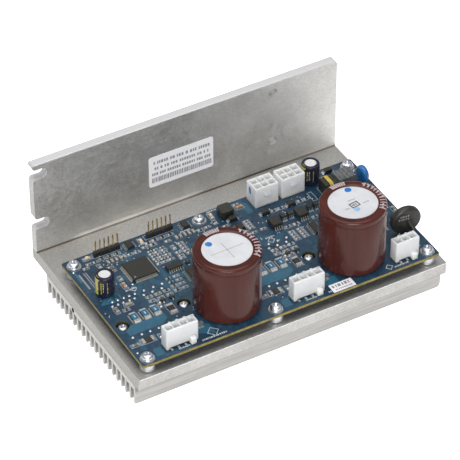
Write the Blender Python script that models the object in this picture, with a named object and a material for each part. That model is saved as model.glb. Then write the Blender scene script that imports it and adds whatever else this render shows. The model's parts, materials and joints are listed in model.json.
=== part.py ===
"""Open-frame servo drive: one board with two output channels, over a bracket and a heatsink.

X runs along the long side, Y runs back to the mounting flange and Z runs up. The origin is under
the middle of the object, level with the tips of the cooling fins. Pieces on the circuit board
are children of the board, and their places are measured from the front left corner of its top
face, as on a board drawing.
"""
import math

import bmesh
import bpy
from mathutils import Matrix

MM = 0.001
GAP = 0.3 * MM  # clearance between pieces that rest on each other

# Bracket: a base plate and a standing flange
BRACKET_LENGTH = 180.8 * MM
BRACKET_DEPTH = 117.5 * MM
PLATE_THICKNESS = 6.95 * MM
FLANGE_THICKNESS = 5.2 * MM
FLANGE_HEIGHT = 57.5 * MM  # above the plate
EDGE_RADIUS = 0.6 * MM
INNER_FILLET = 0.8 * MM
FLANGE_CORNERS = {-1: 1.4 * MM, 1: 2.4 * MM}  # left, right
PLATE_CORNER = 0.9 * MM
SLOT_WIDTH = 6.3 * MM
SLOT_DEPTH = 8.4 * MM
SLOT_MOUTH = 1.7 * MM
FLANGE_HOLE = 5.0 * MM
FLANGE_HOLE_X = 51.0 * MM
FASTENER_HEIGHTS = (18.75 * MM, 51.1 * MM)  # above the plate

# Heatsink: a fin extrusion
FIN_COUNT = 21
FIN_PITCH = 4.78 * MM
FIN_THICKNESS = 1.7 * MM
FIN_TIP_RADIUS = 0.5 * MM
FIN_HEIGHT = 8.8 * MM
HEATSINK_HEIGHT = 12.1 * MM
HEATSINK_LENGTH = 180.2 * MM
HEATSINK_INSET = 4.5 * MM  # behind the front of the plate
HEATSINK_CORNER = 3.0 * MM
PROBE_HOLE = 2.8 * MM
PROBE_HOLE_HEIGHT = 10.35 * MM
PROBE_HOLE_DEPTH = 12.0 * MM

# Circuit board
BOARD_LENGTH = 174.0 * MM
BOARD_DEPTH = 89.2 * MM
BOARD_THICKNESS = 1.6 * MM
BOARD_FRONT_INSET = 2.35 * MM  # behind the front of the plate
BOARD_LEFT_INSET = 3.6 * MM  # inside the left end of the plate
STANDOFF_HEIGHT = 4.75 * MM
STANDOFF_DIAMETER = 8.2 * MM
BOARD_CORNER = 1.0 * MM
SCREW_COLUMNS = (4.8 * MM, 78.4 * MM, 169.0 * MM)
SCREW_ROWS = (4.3 * MM, 83.9 * MM)
SCREW_HOLE = 3.4 * MM
ACCESS_HOLE = 7.0 * MM

# The two output channels are alike
CHANNEL_PITCH = 73.5 * MM
MODULE_CENTRE = (22.95 * MM, 34.5 * MM)
MODULE_SIZE = (44.0 * MM, 24.5 * MM, 3.3 * MM)
MODULE_EAR = 2.2 * MM
MODULE_SCREW_SPAN = 35.1 * MM
MODULE_SCREW_Y = 31.6 * MM
SHUNT_COLUMNS = (13.4 * MM, 19.3 * MM, 25.2 * MM)
SHUNT_Y = 33.9 * MM
BUS_CAPACITOR = (59.7 * MM, 21.0 * MM)
BUS_CAPACITOR_DIAMETER = 35.0 * MM
BUS_CAPACITOR_HEIGHT = 35.8 * MM

# Heights that follow
PLATE_BOTTOM = HEATSINK_HEIGHT + GAP
PLATE_TOP = PLATE_BOTTOM + PLATE_THICKNESS
FLANGE_TOP = PLATE_TOP + FLANGE_HEIGHT
BOARD_BOTTOM = PLATE_TOP + STANDOFF_HEIGHT
BOARD_TOP = BOARD_BOTTOM + BOARD_THICKNESS
LEFT = -BRACKET_LENGTH / 2
RIGHT = BRACKET_LENGTH / 2
FRONT = -BRACKET_DEPTH / 2
BACK = BRACKET_DEPTH / 2
FLANGE_FACE = BACK - FLANGE_THICKNESS
BOARD_LEFT = LEFT + BOARD_LEFT_INSET
BOARD_FRONT = FRONT + BOARD_FRONT_INSET

# Turns that lay a prism's outline in another plane
OUTLINE_IN_YZ = Matrix(((0, 0, 1, 0), (1, 0, 0, 0), (0, 1, 0, 0), (0, 0, 0, 1)))
OUTLINE_IN_XZ = Matrix(((1, 0, 0, 0), (0, 0, -1, 0), (0, 1, 0, 0), (0, 0, 0, 1)))


# ---------------------------------------------------------------- basic shapes

def clear_scene():
    for thing in list(bpy.data.objects):
        bpy.data.objects.remove(thing)


def arc(centre, radius, start, end, steps=4):
    """Points of an arc between two angles in degrees, ends included."""
    points = []
    for step in range(steps + 1):
        angle = math.radians(start + (end - start) * step / steps)
        points.append((centre[0] + radius * math.cos(angle), centre[1] + radius * math.sin(angle)))
    return points


def circle(centre, radius, segments=24):
    return arc(centre, radius, 0, 360, segments)[:-1]


def rectangle(x0, x1, y0, y1):
    return [(x0, y0), (x1, y0), (x1, y1), (x0, y1)]


def rounded_rectangle(x0, x1, y0, y1, radius, steps=3):
    outline = arc((x1 - radius, y0 + radius), radius, 270, 360, steps)
    outline += arc((x1 - radius, y1 - radius), radius, 0, 90, steps)
    outline += arc((x0 + radius, y1 - radius), radius, 90, 180, steps)
    outline += arc((x0 + radius, y0 + radius), radius, 180, 270, steps)
    return outline


def loft(sections):
    """A closed solid through outlines of equal length, given as (height, outline) from below."""
    bm = bmesh.new()
    rings = []
    for height, outline in sections:
        rings.append([bm.verts.new((x, y, height)) for x, y in outline])
    count = len(rings[0])
    bm.faces.new(list(reversed(rings[0])))
    bm.faces.new(rings[-1])
    for lower, upper in zip(rings, rings[1:]):
        for i in range(count):
            j = (i + 1) % count
            bm.faces.new((lower[i], lower[j], upper[j], upper[i]))
    bmesh.ops.recalc_face_normals(bm, faces=bm.faces)
    return bm


def prism(outline, low, high, turn=None):
    bm = loft([(low, outline), (high, outline)])
    if turn is not None:
        bmesh.ops.transform(bm, matrix=turn, verts=bm.verts)
    return bm


def block(x0, x1, y0, y1, z0, z1):
    return prism(rectangle(x0, x1, y0, y1), z0, z1)


def lathe(profile, segments, closed=False):
    """A solid of revolution about Z, from (radius, height) points.

    An open profile runs from the axis back to the axis. A closed one is a ring's section.
    """
    bm = bmesh.new()
    rings = []
    for radius, height in profile:
        if radius == 0:
            rings.append([bm.verts.new((0, 0, height))])
            continue
        rings.append([bm.verts.new((x, y, height)) for x, y in circle((0, 0), radius, segments)])
    pairs = list(zip(rings, rings[1:]))
    if closed:
        pairs.append((rings[-1], rings[0]))
    for lower, upper in pairs:
        for i in range(segments):
            j = (i + 1) % segments
            corners = [lower[i % len(lower)], lower[j % len(lower)]]
            corners += [upper[j % len(upper)], upper[i % len(upper)]]
            bm.faces.new(list(dict.fromkeys(corners)))
    bmesh.ops.recalc_face_normals(bm, faces=bm.faces)
    return bm


def joined(pieces):
    """Several separate solids in one bmesh."""
    whole = bmesh.new()
    for piece in pieces:
        mesh = bpy.data.meshes.new("piece")
        piece.to_mesh(mesh)
        piece.free()
        whole.from_mesh(mesh)
        bpy.data.meshes.remove(mesh)
    return whole


# ---------------------------------------------------------------- objects and finishes

def finish(name, colour, roughness, metallic=0.0):
    material = bpy.data.materials.get(name)
    if material:
        return material
    material = bpy.data.materials.new(name)
    material.use_nodes = True
    material.diffuse_color = (*colour, 1.0)
    shader = material.node_tree.nodes["Principled BSDF"]
    shader.inputs["Base Color"].default_value = (*colour, 1.0)
    shader.inputs["Roughness"].default_value = roughness
    shader.inputs["Metallic"].default_value = metallic
    return material


def mill_aluminium():
    return finish("mill_aluminium", (0.56, 0.55, 0.53), 0.42, 1.0)


def extruded_aluminium():
    return finish("extruded_aluminium", (0.60, 0.60, 0.58), 0.38, 1.0)


def plated_steel():
    return finish("plated_steel", (0.75, 0.76, 0.77), 0.22, 1.0)


def board_laminate():
    return finish("board_laminate", (0.02, 0.085, 0.17), 0.35)


def module_resin():
    return finish("module_resin", (0.02, 0.02, 0.022), 0.5)


def thermal_film():
    return finish("thermal_film", (0.55, 0.50, 0.42), 0.7)


def capacitor_can():
    return finish("capacitor_can", (0.78, 0.78, 0.78), 0.3, 1.0)


def maroon_sleeve():
    return finish("maroon_sleeve", (0.105, 0.037, 0.034), 0.28)


def white_card():
    return finish("white_card", (0.76, 0.78, 0.82), 0.6)


def navy_sleeve():
    return finish("navy_sleeve", (0.012, 0.012, 0.03), 0.3)


def natural_nylon():
    return finish("natural_nylon", (0.72, 0.72, 0.70), 0.4)


def header_black():
    return finish("header_black", (0.015, 0.015, 0.015), 0.45)


def chip_resin():
    return finish("chip_resin", (0.022, 0.021, 0.022), 0.5)


def ferrite():
    return finish("ferrite", (0.12, 0.115, 0.12), 0.5)


def winding_black():
    return finish("winding_black", (0.02, 0.02, 0.018), 0.45)


def polyester_tape():
    return finish("polyester_tape", (0.55, 0.48, 0.08), 0.35)


def thermistor_coat():
    return finish("thermistor_coat", (0.022, 0.022, 0.02), 0.45)


def blue_coat():
    return finish("blue_coat", (0.02, 0.13, 0.48), 0.25)


def shunt_blue():
    return finish("shunt_blue", (0.03, 0.19, 0.36), 0.4)


def label_stock():
    return finish("label_stock", (0.78, 0.78, 0.80), 0.55)


def mesh_of(name, bm, smooth=True):
    mesh = bpy.data.meshes.new(name)
    bm.to_mesh(mesh)
    bm.free()
    if smooth:
        mesh.shade_smooth()
        mesh.set_sharp_from_angle(angle=math.radians(35))
    return mesh


def place(name, mesh, material, location=(0, 0, 0), rotation=(0, 0, 0), parent=None):
    piece = bpy.data.objects.new(name, mesh)
    bpy.context.scene.collection.objects.link(piece)
    if not mesh.materials:
        mesh.materials.append(material)
    piece.location = location
    piece.rotation_euler = rotation
    piece.parent = parent
    return piece


def cut(target, tool, operation="DIFFERENCE"):
    """Cut the tool's solids out of the target, or merge them into it."""
    helper = place(target.name + "_" + operation.lower(), mesh_of("tool", tool), target.data.materials[0])
    helper.parent = target
    helper.hide_render = True
    helper.display_type = "WIRE"
    change = target.modifiers.new(operation.lower(), "BOOLEAN")
    change.operation = operation
    change.object = helper
    change.solver = "EXACT"


# ---------------------------------------------------------------- bracket and heatsink

def bracket_section():
    """Side outline of the bracket in Y and Z."""
    r = EDGE_RADIUS
    outline = arc((FRONT + r, PLATE_BOTTOM + r), r, 180, 270, 3)
    outline += arc((BACK - r, PLATE_BOTTOM + r), r, 270, 360, 3)
    outline += arc((BACK - r, FLANGE_TOP - r), r, 0, 90, 3)
    outline += arc((FLANGE_FACE + r, FLANGE_TOP - r), r, 90, 180, 3)
    outline += arc((FLANGE_FACE - INNER_FILLET, PLATE_TOP + INNER_FILLET), INNER_FILLET, 0, -90, 6)
    outline += arc((FRONT + r, PLATE_TOP - r), r, 90, 180, 3)
    return outline


def slot_outline(height):
    """Open slot from the left end of the flange, in X and Z, with a flared mouth."""
    half = SLOT_WIDTH / 2
    end = LEFT + SLOT_DEPTH - half
    outline = [(LEFT - 3 * MM, height - half - SLOT_MOUTH)]
    outline += arc((LEFT + SLOT_MOUTH, height - half - SLOT_MOUTH), SLOT_MOUTH, 180, 90, 5)
    outline += arc((end, height), half, -90, 90, 12)
    outline += arc((LEFT + SLOT_MOUTH, height + half + SLOT_MOUTH), SLOT_MOUTH, 270, 180, 5)
    outline += [(LEFT - 3 * MM, height + half + SLOT_MOUTH)]
    return outline


def corner_outline(x, y, side_x, side_y, radius, spare=3.0 * MM):
    """What is outside a rounded corner at x, y, whose material lies away from side_x, side_y."""
    inner_x = x - side_x * radius
    inner_y = y - side_y * radius
    outline = [(x + side_x * spare, inner_y), (x + side_x * spare, y + side_y * spare)]
    outline += [(inner_x, y + side_y * spare)]
    for point in arc((0, 0), radius, 90, 0, 5):
        outline.append((inner_x + side_x * point[0], inner_y + side_y * point[1]))
    return outline


def flange_cutters():
    behind = -BACK - 1 * MM
    ahead = -FLANGE_FACE + 1 * MM
    outlines = []
    for height in FASTENER_HEIGHTS:
        outlines.append(slot_outline(PLATE_TOP + height))
        outlines.append(circle((FLANGE_HOLE_X, PLATE_TOP + height), FLANGE_HOLE / 2, 32))
    for side, radius in FLANGE_CORNERS.items():
        outlines.append(corner_outline(side * RIGHT, FLANGE_TOP, side, 1, radius))
    return [prism(outline, behind, ahead, OUTLINE_IN_XZ) for outline in outlines]


def plate_cutters():
    pieces = []
    for side in (-1, 1):
        outline = corner_outline(side * RIGHT, FRONT, side, -1, PLATE_CORNER)
        pieces.append(prism(outline, PLATE_BOTTOM - 1 * MM, PLATE_TOP + 1 * MM))
    for x in module_screw_columns():
        centre = (BOARD_LEFT + x, BOARD_FRONT + MODULE_SCREW_Y)
        pieces.append(prism(circle(centre, 1.8 * MM, 16), PLATE_TOP - 5.5 * MM, PLATE_TOP + 1 * MM))
    return pieces


def module_screw_columns():
    columns = []
    for channel in range(2):
        for side in (-1, 1):
            centre = MODULE_CENTRE[0] + channel * CHANNEL_PITCH
            columns.append(centre + side * MODULE_SCREW_SPAN / 2)
    return columns


def build_bracket():
    section = prism(bracket_section(), LEFT, RIGHT, OUTLINE_IN_YZ)
    bracket = place("mounting_bracket", mesh_of("mounting_bracket", section), mill_aluminium())
    cut(bracket, joined(flange_cutters() + plate_cutters()))
    return bracket


def heatsink_section():
    """Side outline of the fin extrusion in Y and Z, fins down."""
    front = FRONT + HEATSINK_INSET
    back = front + FIN_THICKNESS + (FIN_COUNT - 1) * FIN_PITCH
    r = FIN_THICKNESS / 2
    tip = FIN_TIP_RADIUS
    outline = [(front, HEATSINK_HEIGHT)]
    for fin in range(FIN_COUNT):
        centre = front + r + fin * FIN_PITCH
        if fin > 0:
            outline.append((centre - r, FIN_HEIGHT))
        outline += arc((centre - r + tip, tip), tip, 180, 270, 2)
        outline += arc((centre + r - tip, tip), tip, 270, 360, 2)
        if fin < FIN_COUNT - 1:
            outline.append((centre + r, FIN_HEIGHT))
    outline.append((back, HEATSINK_HEIGHT))
    return outline


def build_heatsink(bracket):
    section = prism(heatsink_section(), LEFT, LEFT + HEATSINK_LENGTH, OUTLINE_IN_YZ)
    heatsink = place("heatsink", mesh_of("heatsink", section), extruded_aluminium(), parent=bracket)
    corner = corner_outline(LEFT + HEATSINK_LENGTH, 0, 1, -1, HEATSINK_CORNER)
    rounding = prism(corner, -BACK, -FRONT, OUTLINE_IN_XZ)
    probe_y = FRONT + HEATSINK_INSET + FIN_THICKNESS / 2 + 14 * FIN_PITCH
    probe = circle((probe_y, PROBE_HOLE_HEIGHT), PROBE_HOLE / 2, 16)
    hole = prism(probe, LEFT - 1 * MM, LEFT + PROBE_HOLE_DEPTH, OUTLINE_IN_YZ)
    cut(heatsink, joined([rounding, hole]))


# ---------------------------------------------------------------- board and its fastening

def screw_places():
    return [(x, y) for y in SCREW_ROWS for x in SCREW_COLUMNS]


def build_standoffs(bracket):
    height = STANDOFF_HEIGHT - 2 * GAP
    radius = STANDOFF_DIAMETER / 2
    chamfer = 0.3 * MM
    bore = SCREW_HOLE / 2
    floor = 0.6 * MM
    profile = [(0, 0), (radius - chamfer, 0), (radius, chamfer), (radius, height - chamfer)]
    profile += [(radius - chamfer, height), (bore, height), (bore, floor), (0, floor)]
    mesh = mesh_of("standoff", lathe(profile, 20))
    for number, (x, y) in enumerate(screw_places(), start=1):
        at = (BOARD_LEFT + x, BOARD_FRONT + y, PLATE_TOP + GAP)
        place(f"standoff_{number}", mesh, plated_steel(), at, parent=bracket)


def cross_recess(length, width, depth, top):
    """Tapered cross for a Phillips recess, open above top."""
    a = width / 2
    b = length / 2
    upper = [(a, b), (-a, b), (-a, a), (-b, a), (-b, -a), (-a, -a)]
    upper += [(-x, -y) for x, y in upper]
    lower = [(x * 0.45, y * 0.45) for x, y in upper]
    return loft([(top - depth, lower), (top + 0.3 * MM, upper)])


def screw_profile(head, height, shank, length, washer=None):
    """Pan head screw seen from the side, the bearing face at height 0."""
    r = head / 2
    s = shank / 2
    profile = [(0, -length), (s * 0.75, -length), (s, -length + 0.4 * MM), (s, 0)]
    base = 0
    if washer:
        base = 0.5 * MM
        profile += [(washer / 2, 0), (washer / 2, base)]
    profile += [(r, base), (r, base + height * 0.45)]
    profile += [(r * 0.9, base + height * 0.75), (r * 0.7, base + height * 0.93)]
    profile += [(r * 0.4, base + height), (0, base + height)]
    return profile


def screw_mesh(name, head, height, shank, length, washer=None):
    return mesh_of(name, lathe(screw_profile(head, height, shank, length, washer), 20))


def build_board_screws(board):
    mesh = screw_mesh("board_screw", 6.0 * MM, 2.2 * MM, 2.8 * MM, 4.6 * MM, washer=7.2 * MM)
    for number, (x, y) in enumerate(screw_places(), start=1):
        turn = (0, 0, math.radians(25 * number))
        screw = place(f"board_screw_{number}", mesh, plated_steel(), (x, y, GAP), turn, board)
        cut(screw, cross_recess(3.4 * MM, 0.9 * MM, 1.2 * MM, 2.7 * MM))


def board_holes():
    outlines = [circle(place_, SCREW_HOLE / 2, 16) for place_ in screw_places()]
    for x in module_screw_columns():
        outlines.append(circle((x, MODULE_SCREW_Y), ACCESS_HOLE / 2, 36))
    return [prism(outline, -BOARD_THICKNESS - 1 * MM, 1 * MM) for outline in outlines]


def build_board():
    outline = rounded_rectangle(0, BOARD_LENGTH, 0, BOARD_DEPTH, BOARD_CORNER)
    mesh = mesh_of("circuit_board", prism(outline, -BOARD_THICKNESS, 0))
    board = place("circuit_board", mesh, board_laminate(), (BOARD_LEFT, BOARD_FRONT, BOARD_TOP))
    cut(board, joined(board_holes()))
    return board


# ---------------------------------------------------------------- power stage of each channel

def module_section():
    """Front outline of a power module in X and Z, with a lower ear at each end."""
    length, _, height = MODULE_SIZE
    half = length / 2
    step = half - 7.6 * MM
    outline = [(-half, 0), (half, 0), (half, MODULE_EAR), (step, MODULE_EAR)]
    outline += [(step - 0.8 * MM, height), (-step + 0.8 * MM, height), (-step, MODULE_EAR)]
    outline += [(-half, MODULE_EAR)]
    return outline


def build_power_modules(bracket):
    depth = MODULE_SIZE[1]
    pad_height = 0.4 * MM
    hole_y = MODULE_SCREW_Y - MODULE_CENTRE[1]
    body = mesh_of("power_module", prism(module_section(), -depth / 2, depth / 2, OUTLINE_IN_XZ))
    pad = mesh_of("thermal_pad", block(-13.5 * MM, 13.5 * MM, -11 * MM, 11 * MM, 0, pad_height))
    for channel in range(2):
        x = BOARD_LEFT + MODULE_CENTRE[0] + channel * CHANNEL_PITCH
        y = BOARD_FRONT + MODULE_CENTRE[1]
        pad_z = PLATE_TOP + GAP
        module_z = pad_z + pad_height + GAP
        place(f"thermal_pad_{channel + 1}", pad, thermal_film(), (x, y, pad_z), parent=bracket)
        name = f"power_module_{channel + 1}"
        module = place(name, body, module_resin(), (x, y, module_z), parent=bracket)
        holes = []
        for side in (-1, 1):
            centre = (side * MODULE_SCREW_SPAN / 2, hole_y)
            holes.append(prism(circle(centre, 1.8 * MM, 16), -1 * MM, MODULE_EAR + 1 * MM))
        cut(module, joined(holes))
    return module_z + MODULE_EAR


def build_module_screws(bracket, ear_top):
    mesh = screw_mesh("module_screw", 5.6 * MM, 2.5 * MM, 3.0 * MM, 7.8 * MM)
    for number, x in enumerate(module_screw_columns(), start=1):
        at = (BOARD_LEFT + x, BOARD_FRONT + MODULE_SCREW_Y, ear_top + GAP)
        turn = (0, 0, math.radians(35 * number))
        screw = place(f"module_screw_{number}", mesh, plated_steel(), at, turn, bracket)
        cut(screw, cross_recess(3.1 * MM, 0.85 * MM, 1.3 * MM, 2.5 * MM))


def build_shunts(board):
    mesh = mesh_of("current_shunt", block(-1.65 * MM, 1.65 * MM, -3.3 * MM, 3.3 * MM, 0, 0.6 * MM))
    number = 0
    for channel in range(2):
        for x in SHUNT_COLUMNS:
            number += 1
            at = (x + channel * CHANNEL_PITCH, SHUNT_Y, GAP)
            place(f"current_shunt_{number}", mesh, shunt_blue(), at, parent=board)


# ---------------------------------------------------------------- capacitors

def sleeve_profile(radius, height, wall, foot, rim, opening, mouth):
    """Ring section of a shrink sleeve: it curls under the can and over its top edge."""
    outer = [(mouth, 0)]
    outer += arc((radius - foot, foot), foot, -90, 0, 4)
    outer += arc((radius - rim, height - rim), rim, 0, 90, 4)
    outer += [(opening, height)]
    inner = [(opening, height - wall)]
    inner += arc((radius - rim, height - rim), rim - wall, 90, 0, 3)
    inner += arc((radius - foot, foot), foot - wall, 0, -90, 3)
    inner += [(mouth, wall)]
    return outer + inner


def can_profile(radius, low, high, foot, rim, boss, boss_low):
    profile = [(0, boss_low), (boss, boss_low), (boss, low)]
    profile += arc((radius - foot, low + foot), foot, -90, 0, 3)
    profile += arc((radius - rim, high - rim), rim, 0, 90, 3)
    return profile


def build_bus_capacitors(board):
    radius = BUS_CAPACITOR_DIAMETER / 2
    height = BUS_CAPACITOR_HEIGHT
    wall = 0.4 * MM
    foot = 1.1 * MM
    rim = 1.4 * MM
    inside = radius - wall - GAP
    lip = 13.0 * MM
    disc_top = height - wall - GAP
    disc_bottom = disc_top - 0.5 * MM
    sleeve = lathe(sleeve_profile(radius, height, wall, foot, rim, lip, 15.0 * MM), 64, closed=True)
    can = can_profile(inside, wall + GAP, disc_bottom - GAP, 0.8 * MM, 0.8 * MM, 14.6 * MM, 0)
    can.append((0, disc_bottom - GAP))
    edge = inside - 0.9 * MM
    disc = [(0, disc_bottom), (edge, disc_bottom), (edge, disc_top), (lip - 0.3 * MM, disc_top), (0, disc_top)]
    meshes = {
        "bus_capacitor_sleeve": (mesh_of("bus_sleeve", sleeve), maroon_sleeve()),
        "bus_capacitor_can": (mesh_of("bus_can", lathe(can, 40)), capacitor_can()),
        "bus_capacitor_disc": (mesh_of("bus_disc", lathe(disc, 64)), white_card()),
    }
    for channel in range(2):
        at = (BUS_CAPACITOR[0] + channel * CHANNEL_PITCH, BUS_CAPACITOR[1], GAP)
        for name, (mesh, material) in meshes.items():
            place(f"{name}_{channel + 1}", mesh, material, at, parent=board)


def build_small_capacitors(board):
    radius = 5.0 * MM
    height = 12.4 * MM
    wall = 0.4 * MM
    lip = 3.3 * MM
    inside = radius - wall - GAP
    sleeve = lathe(sleeve_profile(radius, height, wall, 0.9 * MM, 0.9 * MM, lip, 3.6 * MM), 32, closed=True)
    can = can_profile(inside, wall + GAP, height - wall - GAP, 0.5 * MM, 0.5 * MM, 3.2 * MM, 0)
    can += [(lip - GAP, height - wall - GAP), (lip - GAP, height - 0.2 * MM), (0, height - 0.2 * MM)]
    sleeve_mesh = mesh_of("small_sleeve", sleeve)
    can_mesh = mesh_of("small_can", lathe(can, 32))
    for number, (x, y) in enumerate(((9.5, 58.3), (145.7, 83.6)), start=1):
        at = (x * MM, y * MM, GAP)
        place(f"small_capacitor_sleeve_{number}", sleeve_mesh, navy_sleeve(), at, parent=board)
        place(f"small_capacitor_can_{number}", can_mesh, capacitor_can(), at, parent=board)


# ---------------------------------------------------------------- connectors

def cell_pockets(columns, rows, pitch, row_pitch, size, floor, top):
    """Square pockets for the crimp housings, open at the top."""
    half = size / 2
    pockets = []
    for column in range(columns):
        for row in range(rows):
            x = (column - (columns - 1) / 2) * pitch
            y = (row - (rows - 1) / 2) * row_pitch
            pockets.append(block(x - half, x + half, y - half, y + half, floor, top + 1 * MM))
    return pockets


def build_output_connector(board, number, x0, x1, cells):
    """Single-row wire housing at the front edge, with a locating block at its lower right."""
    width = x1 - x0
    depth = 5.8 * MM
    height = 12.5 * MM
    half = width / 2
    body = block(-half, half, -depth / 2, depth / 2, 0, height)
    name = f"output_connector_{number}"
    at = (x0 + half, 6.95 * MM, GAP)
    housing = place(name, mesh_of(name, body), natural_nylon(), at, parent=board)
    extras = [block(half - 5.1 * MM, half - 2.1 * MM, -depth / 2 - 2.4 * MM, -depth / 2 + 1 * MM, 0, 4.0 * MM)]
    pitch = 4.2 * MM
    for rib in range(cells - 1):
        x = (rib - (cells - 2) / 2) * pitch
        extras.append(block(x - 0.6 * MM, x + 0.6 * MM, depth / 2 - 1 * MM, depth / 2 + 0.6 * MM, 1 * MM, height))
    cut(housing, joined(extras), "UNION")
    pockets = cell_pockets(cells, 1, pitch, pitch, 3.4 * MM, 2.0 * MM, height)
    notch_left = -half + 2.0 * MM
    notch_right = half - 5.1 * MM
    pockets.append(block(notch_left, notch_right, -depth / 2 - 1 * MM, -depth / 2 + 2.0 * MM, -1 * MM, 1.2 * MM))
    cut(housing, joined(pockets))


def latch_ramp(y_face, low, high, half_width, reach):
    """Wedge on the front face that a plug's latch snaps over."""
    outline = [(y_face + 0.5 * MM, low), (y_face + 0.5 * MM, high), (y_face, high), (y_face - reach, low)]
    return prism(outline, -half_width, half_width, OUTLINE_IN_YZ)


def build_rear_connector(board, number, x0, y0):
    """Two-row wire housing of six cells, with a latch ramp on the front face."""
    width = 13.8 * MM
    depth = 9.6 * MM
    height = 12.5 * MM
    body = block(-width / 2, width / 2, -depth / 2, depth / 2, 0, height)
    name = f"rear_connector_{number}"
    at = (x0 + width / 2, y0 + depth / 2, GAP)
    housing = place(name, mesh_of(name, body), natural_nylon(), at, parent=board)
    cut(housing, latch_ramp(-depth / 2, 6.8 * MM, 9.8 * MM, 1.7 * MM, 1.2 * MM), "UNION")
    cut(housing, joined(cell_pockets(3, 2, 4.2 * MM, 4.2 * MM, 3.4 * MM, 2.0 * MM, height)))


def header_outline(pins, pitch, depth):
    """Strip of square cells with clipped corners, in X and Y."""
    clip = 0.35 * MM
    near = []
    for pin in range(pins):
        left = (pin - pins / 2) * pitch
        near += [(left, -depth / 2 + clip), (left + clip, -depth / 2), (left + pitch - clip, -depth / 2)]
    near.append((pins / 2 * pitch, -depth / 2 + clip))
    far = [(-x, -y) for x, y in near]
    return near + far


def build_pin_headers(board):
    pitch = 2.54 * MM
    mesh = mesh_of("pin_header", prism(header_outline(6, pitch, 2.5 * MM), 0, 2.5 * MM))
    for number, first_pin in enumerate((18.39 * MM, 49.38 * MM), start=1):
        at = (first_pin + 2.5 * pitch, 85.83 * MM, GAP)
        place(f"pin_header_{number}", mesh, header_black(), at, parent=board)


# ---------------------------------------------------------------- chips and magnetics

def chip(width, depth, height):
    """Moulded chip body, widest where the leads leave it."""
    draft = 0.16 * MM
    half_w = width / 2
    half_d = depth / 2
    waist = rectangle(-half_w, half_w, -half_d, half_d)
    end = rectangle(-half_w + draft, half_w - draft, -half_d + draft, half_d - draft)
    return loft([(0, end), (height * 0.45, waist), (height, end)])


def build_chips(board):
    size = 14.0 * MM
    mesh = mesh_of("controller_chip", chip(size, size, 1.4 * MM))
    place("controller_chip", mesh, chip_resin(), (33.0 * MM, 65.0 * MM, 0.4 * MM), parent=board)
    narrow = mesh_of("driver_chip", chip(3.9 * MM, 4.9 * MM, 1.4 * MM))
    wide = mesh_of("driver_chip_wide", chip(8.7 * MM, 3.9 * MM, 1.4 * MM))
    drivers = ((narrow, 37.2, 84.2), (narrow, 70.0, 84.3), (wide, 49.3, 58.0))
    for number, (mesh, x, y) in enumerate(drivers, start=1):
        at = (x * MM, y * MM, 0.4 * MM)
        place(f"driver_chip_{number}", mesh, chip_resin(), at, parent=board)
    coupler = mesh_of("optocoupler", chip(5.9 * MM, 6.8 * MM, 2.9 * MM))
    for number, x in enumerate((111.3 * MM, 127.1 * MM), start=1):
        place(f"optocoupler_{number}", coupler, chip_resin(), (x, 61.6 * MM, 0.5 * MM), parent=board)


def octagon(half, clip):
    outline = [(-half + clip, -half), (half - clip, -half), (half, -half + clip), (half, half - clip)]
    return outline + [(-x, -y) for x, y in outline]


def build_power_inductor(board):
    wide = octagon(3.65 * MM, 0.8 * MM)
    narrow = octagon(3.45 * MM, 0.8 * MM)
    body = loft([(0, wide), (4.2 * MM, wide), (4.5 * MM, narrow)])
    at = (93.0 * MM, 81.9 * MM, GAP)
    place("power_inductor", mesh_of("power_inductor", body), ferrite(), at, parent=board)


def build_transformer(board):
    """Ribbed core, a wound bobbin beside it and a turn of tape round the bobbin."""
    width = 9.8 * MM
    depth = 8.6 * MM
    top = 8.7 * MM
    outline = [(0, 0), (width, 0), (width, top)]
    for groove in (8.0, 5.7, 3.4, 1.1):
        x = groove * MM
        outline += [(x + 0.7 * MM, top), (x + 0.5 * MM, top - 0.6 * MM)]
        outline += [(x - 0.1 * MM, top - 0.6 * MM), (x - 0.3 * MM, top)]
    outline.append((0, top))
    core = prism(outline, -depth, 0, OUTLINE_IN_XZ)
    at = (153.9 * MM, 67.0 * MM, GAP)
    place("transformer_core", mesh_of("transformer_core", core), ferrite(), at, parent=board)
    section = rounded_rectangle(67.4 * MM, 75.2 * MM, 1.0 * MM, 8.0 * MM, 1.2 * MM)
    winding = prism(section, 145.8 * MM, 153.6 * MM, OUTLINE_IN_YZ)
    place("transformer_winding", mesh_of("transformer_winding", winding), winding_black(), parent=board)
    band = rounded_rectangle(66.8 * MM, 75.8 * MM, 0.4 * MM, 8.6 * MM, 1.8 * MM)
    hole = rounded_rectangle(67.1 * MM, 75.5 * MM, 0.7 * MM, 8.3 * MM, 1.5 * MM)
    tape = ring_prism(band, hole, 148.3 * MM, 150.4 * MM)
    place("transformer_tape", mesh_of("transformer_tape", tape), polyester_tape(), parent=board)


def ring_prism(outer, inner, low, high):
    """A band: the space between two outlines of equal length in Y and Z, from low to high in X."""
    bm = bmesh.new()
    rings = []
    for outline, height in ((outer, low), (outer, high), (inner, high), (inner, low)):
        rings.append([bm.verts.new((height, y, z)) for y, z in outline])
    count = len(outer)
    for k in range(4):
        here = rings[k]
        there = rings[(k + 1) % 4]
        for i in range(count):
            j = (i + 1) % count
            bm.faces.new((here[i], here[j], there[j], there[i]))
    bmesh.ops.recalc_face_normals(bm, faces=bm.faces)
    return bm


def coated_disc(radius, thickness, edge, segments):
    """Dipped disc part lying flat, with a rounded rim."""
    half = thickness / 2
    profile = [(0, -half)]
    profile += arc((radius - edge, -half + edge), edge, -90, 0, 4)
    profile += arc((radius - edge, half - edge), edge, 0, 90, 4)[1 if edge == half else 0:]
    profile.append((0, half))
    return lathe(profile, segments)


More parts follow.
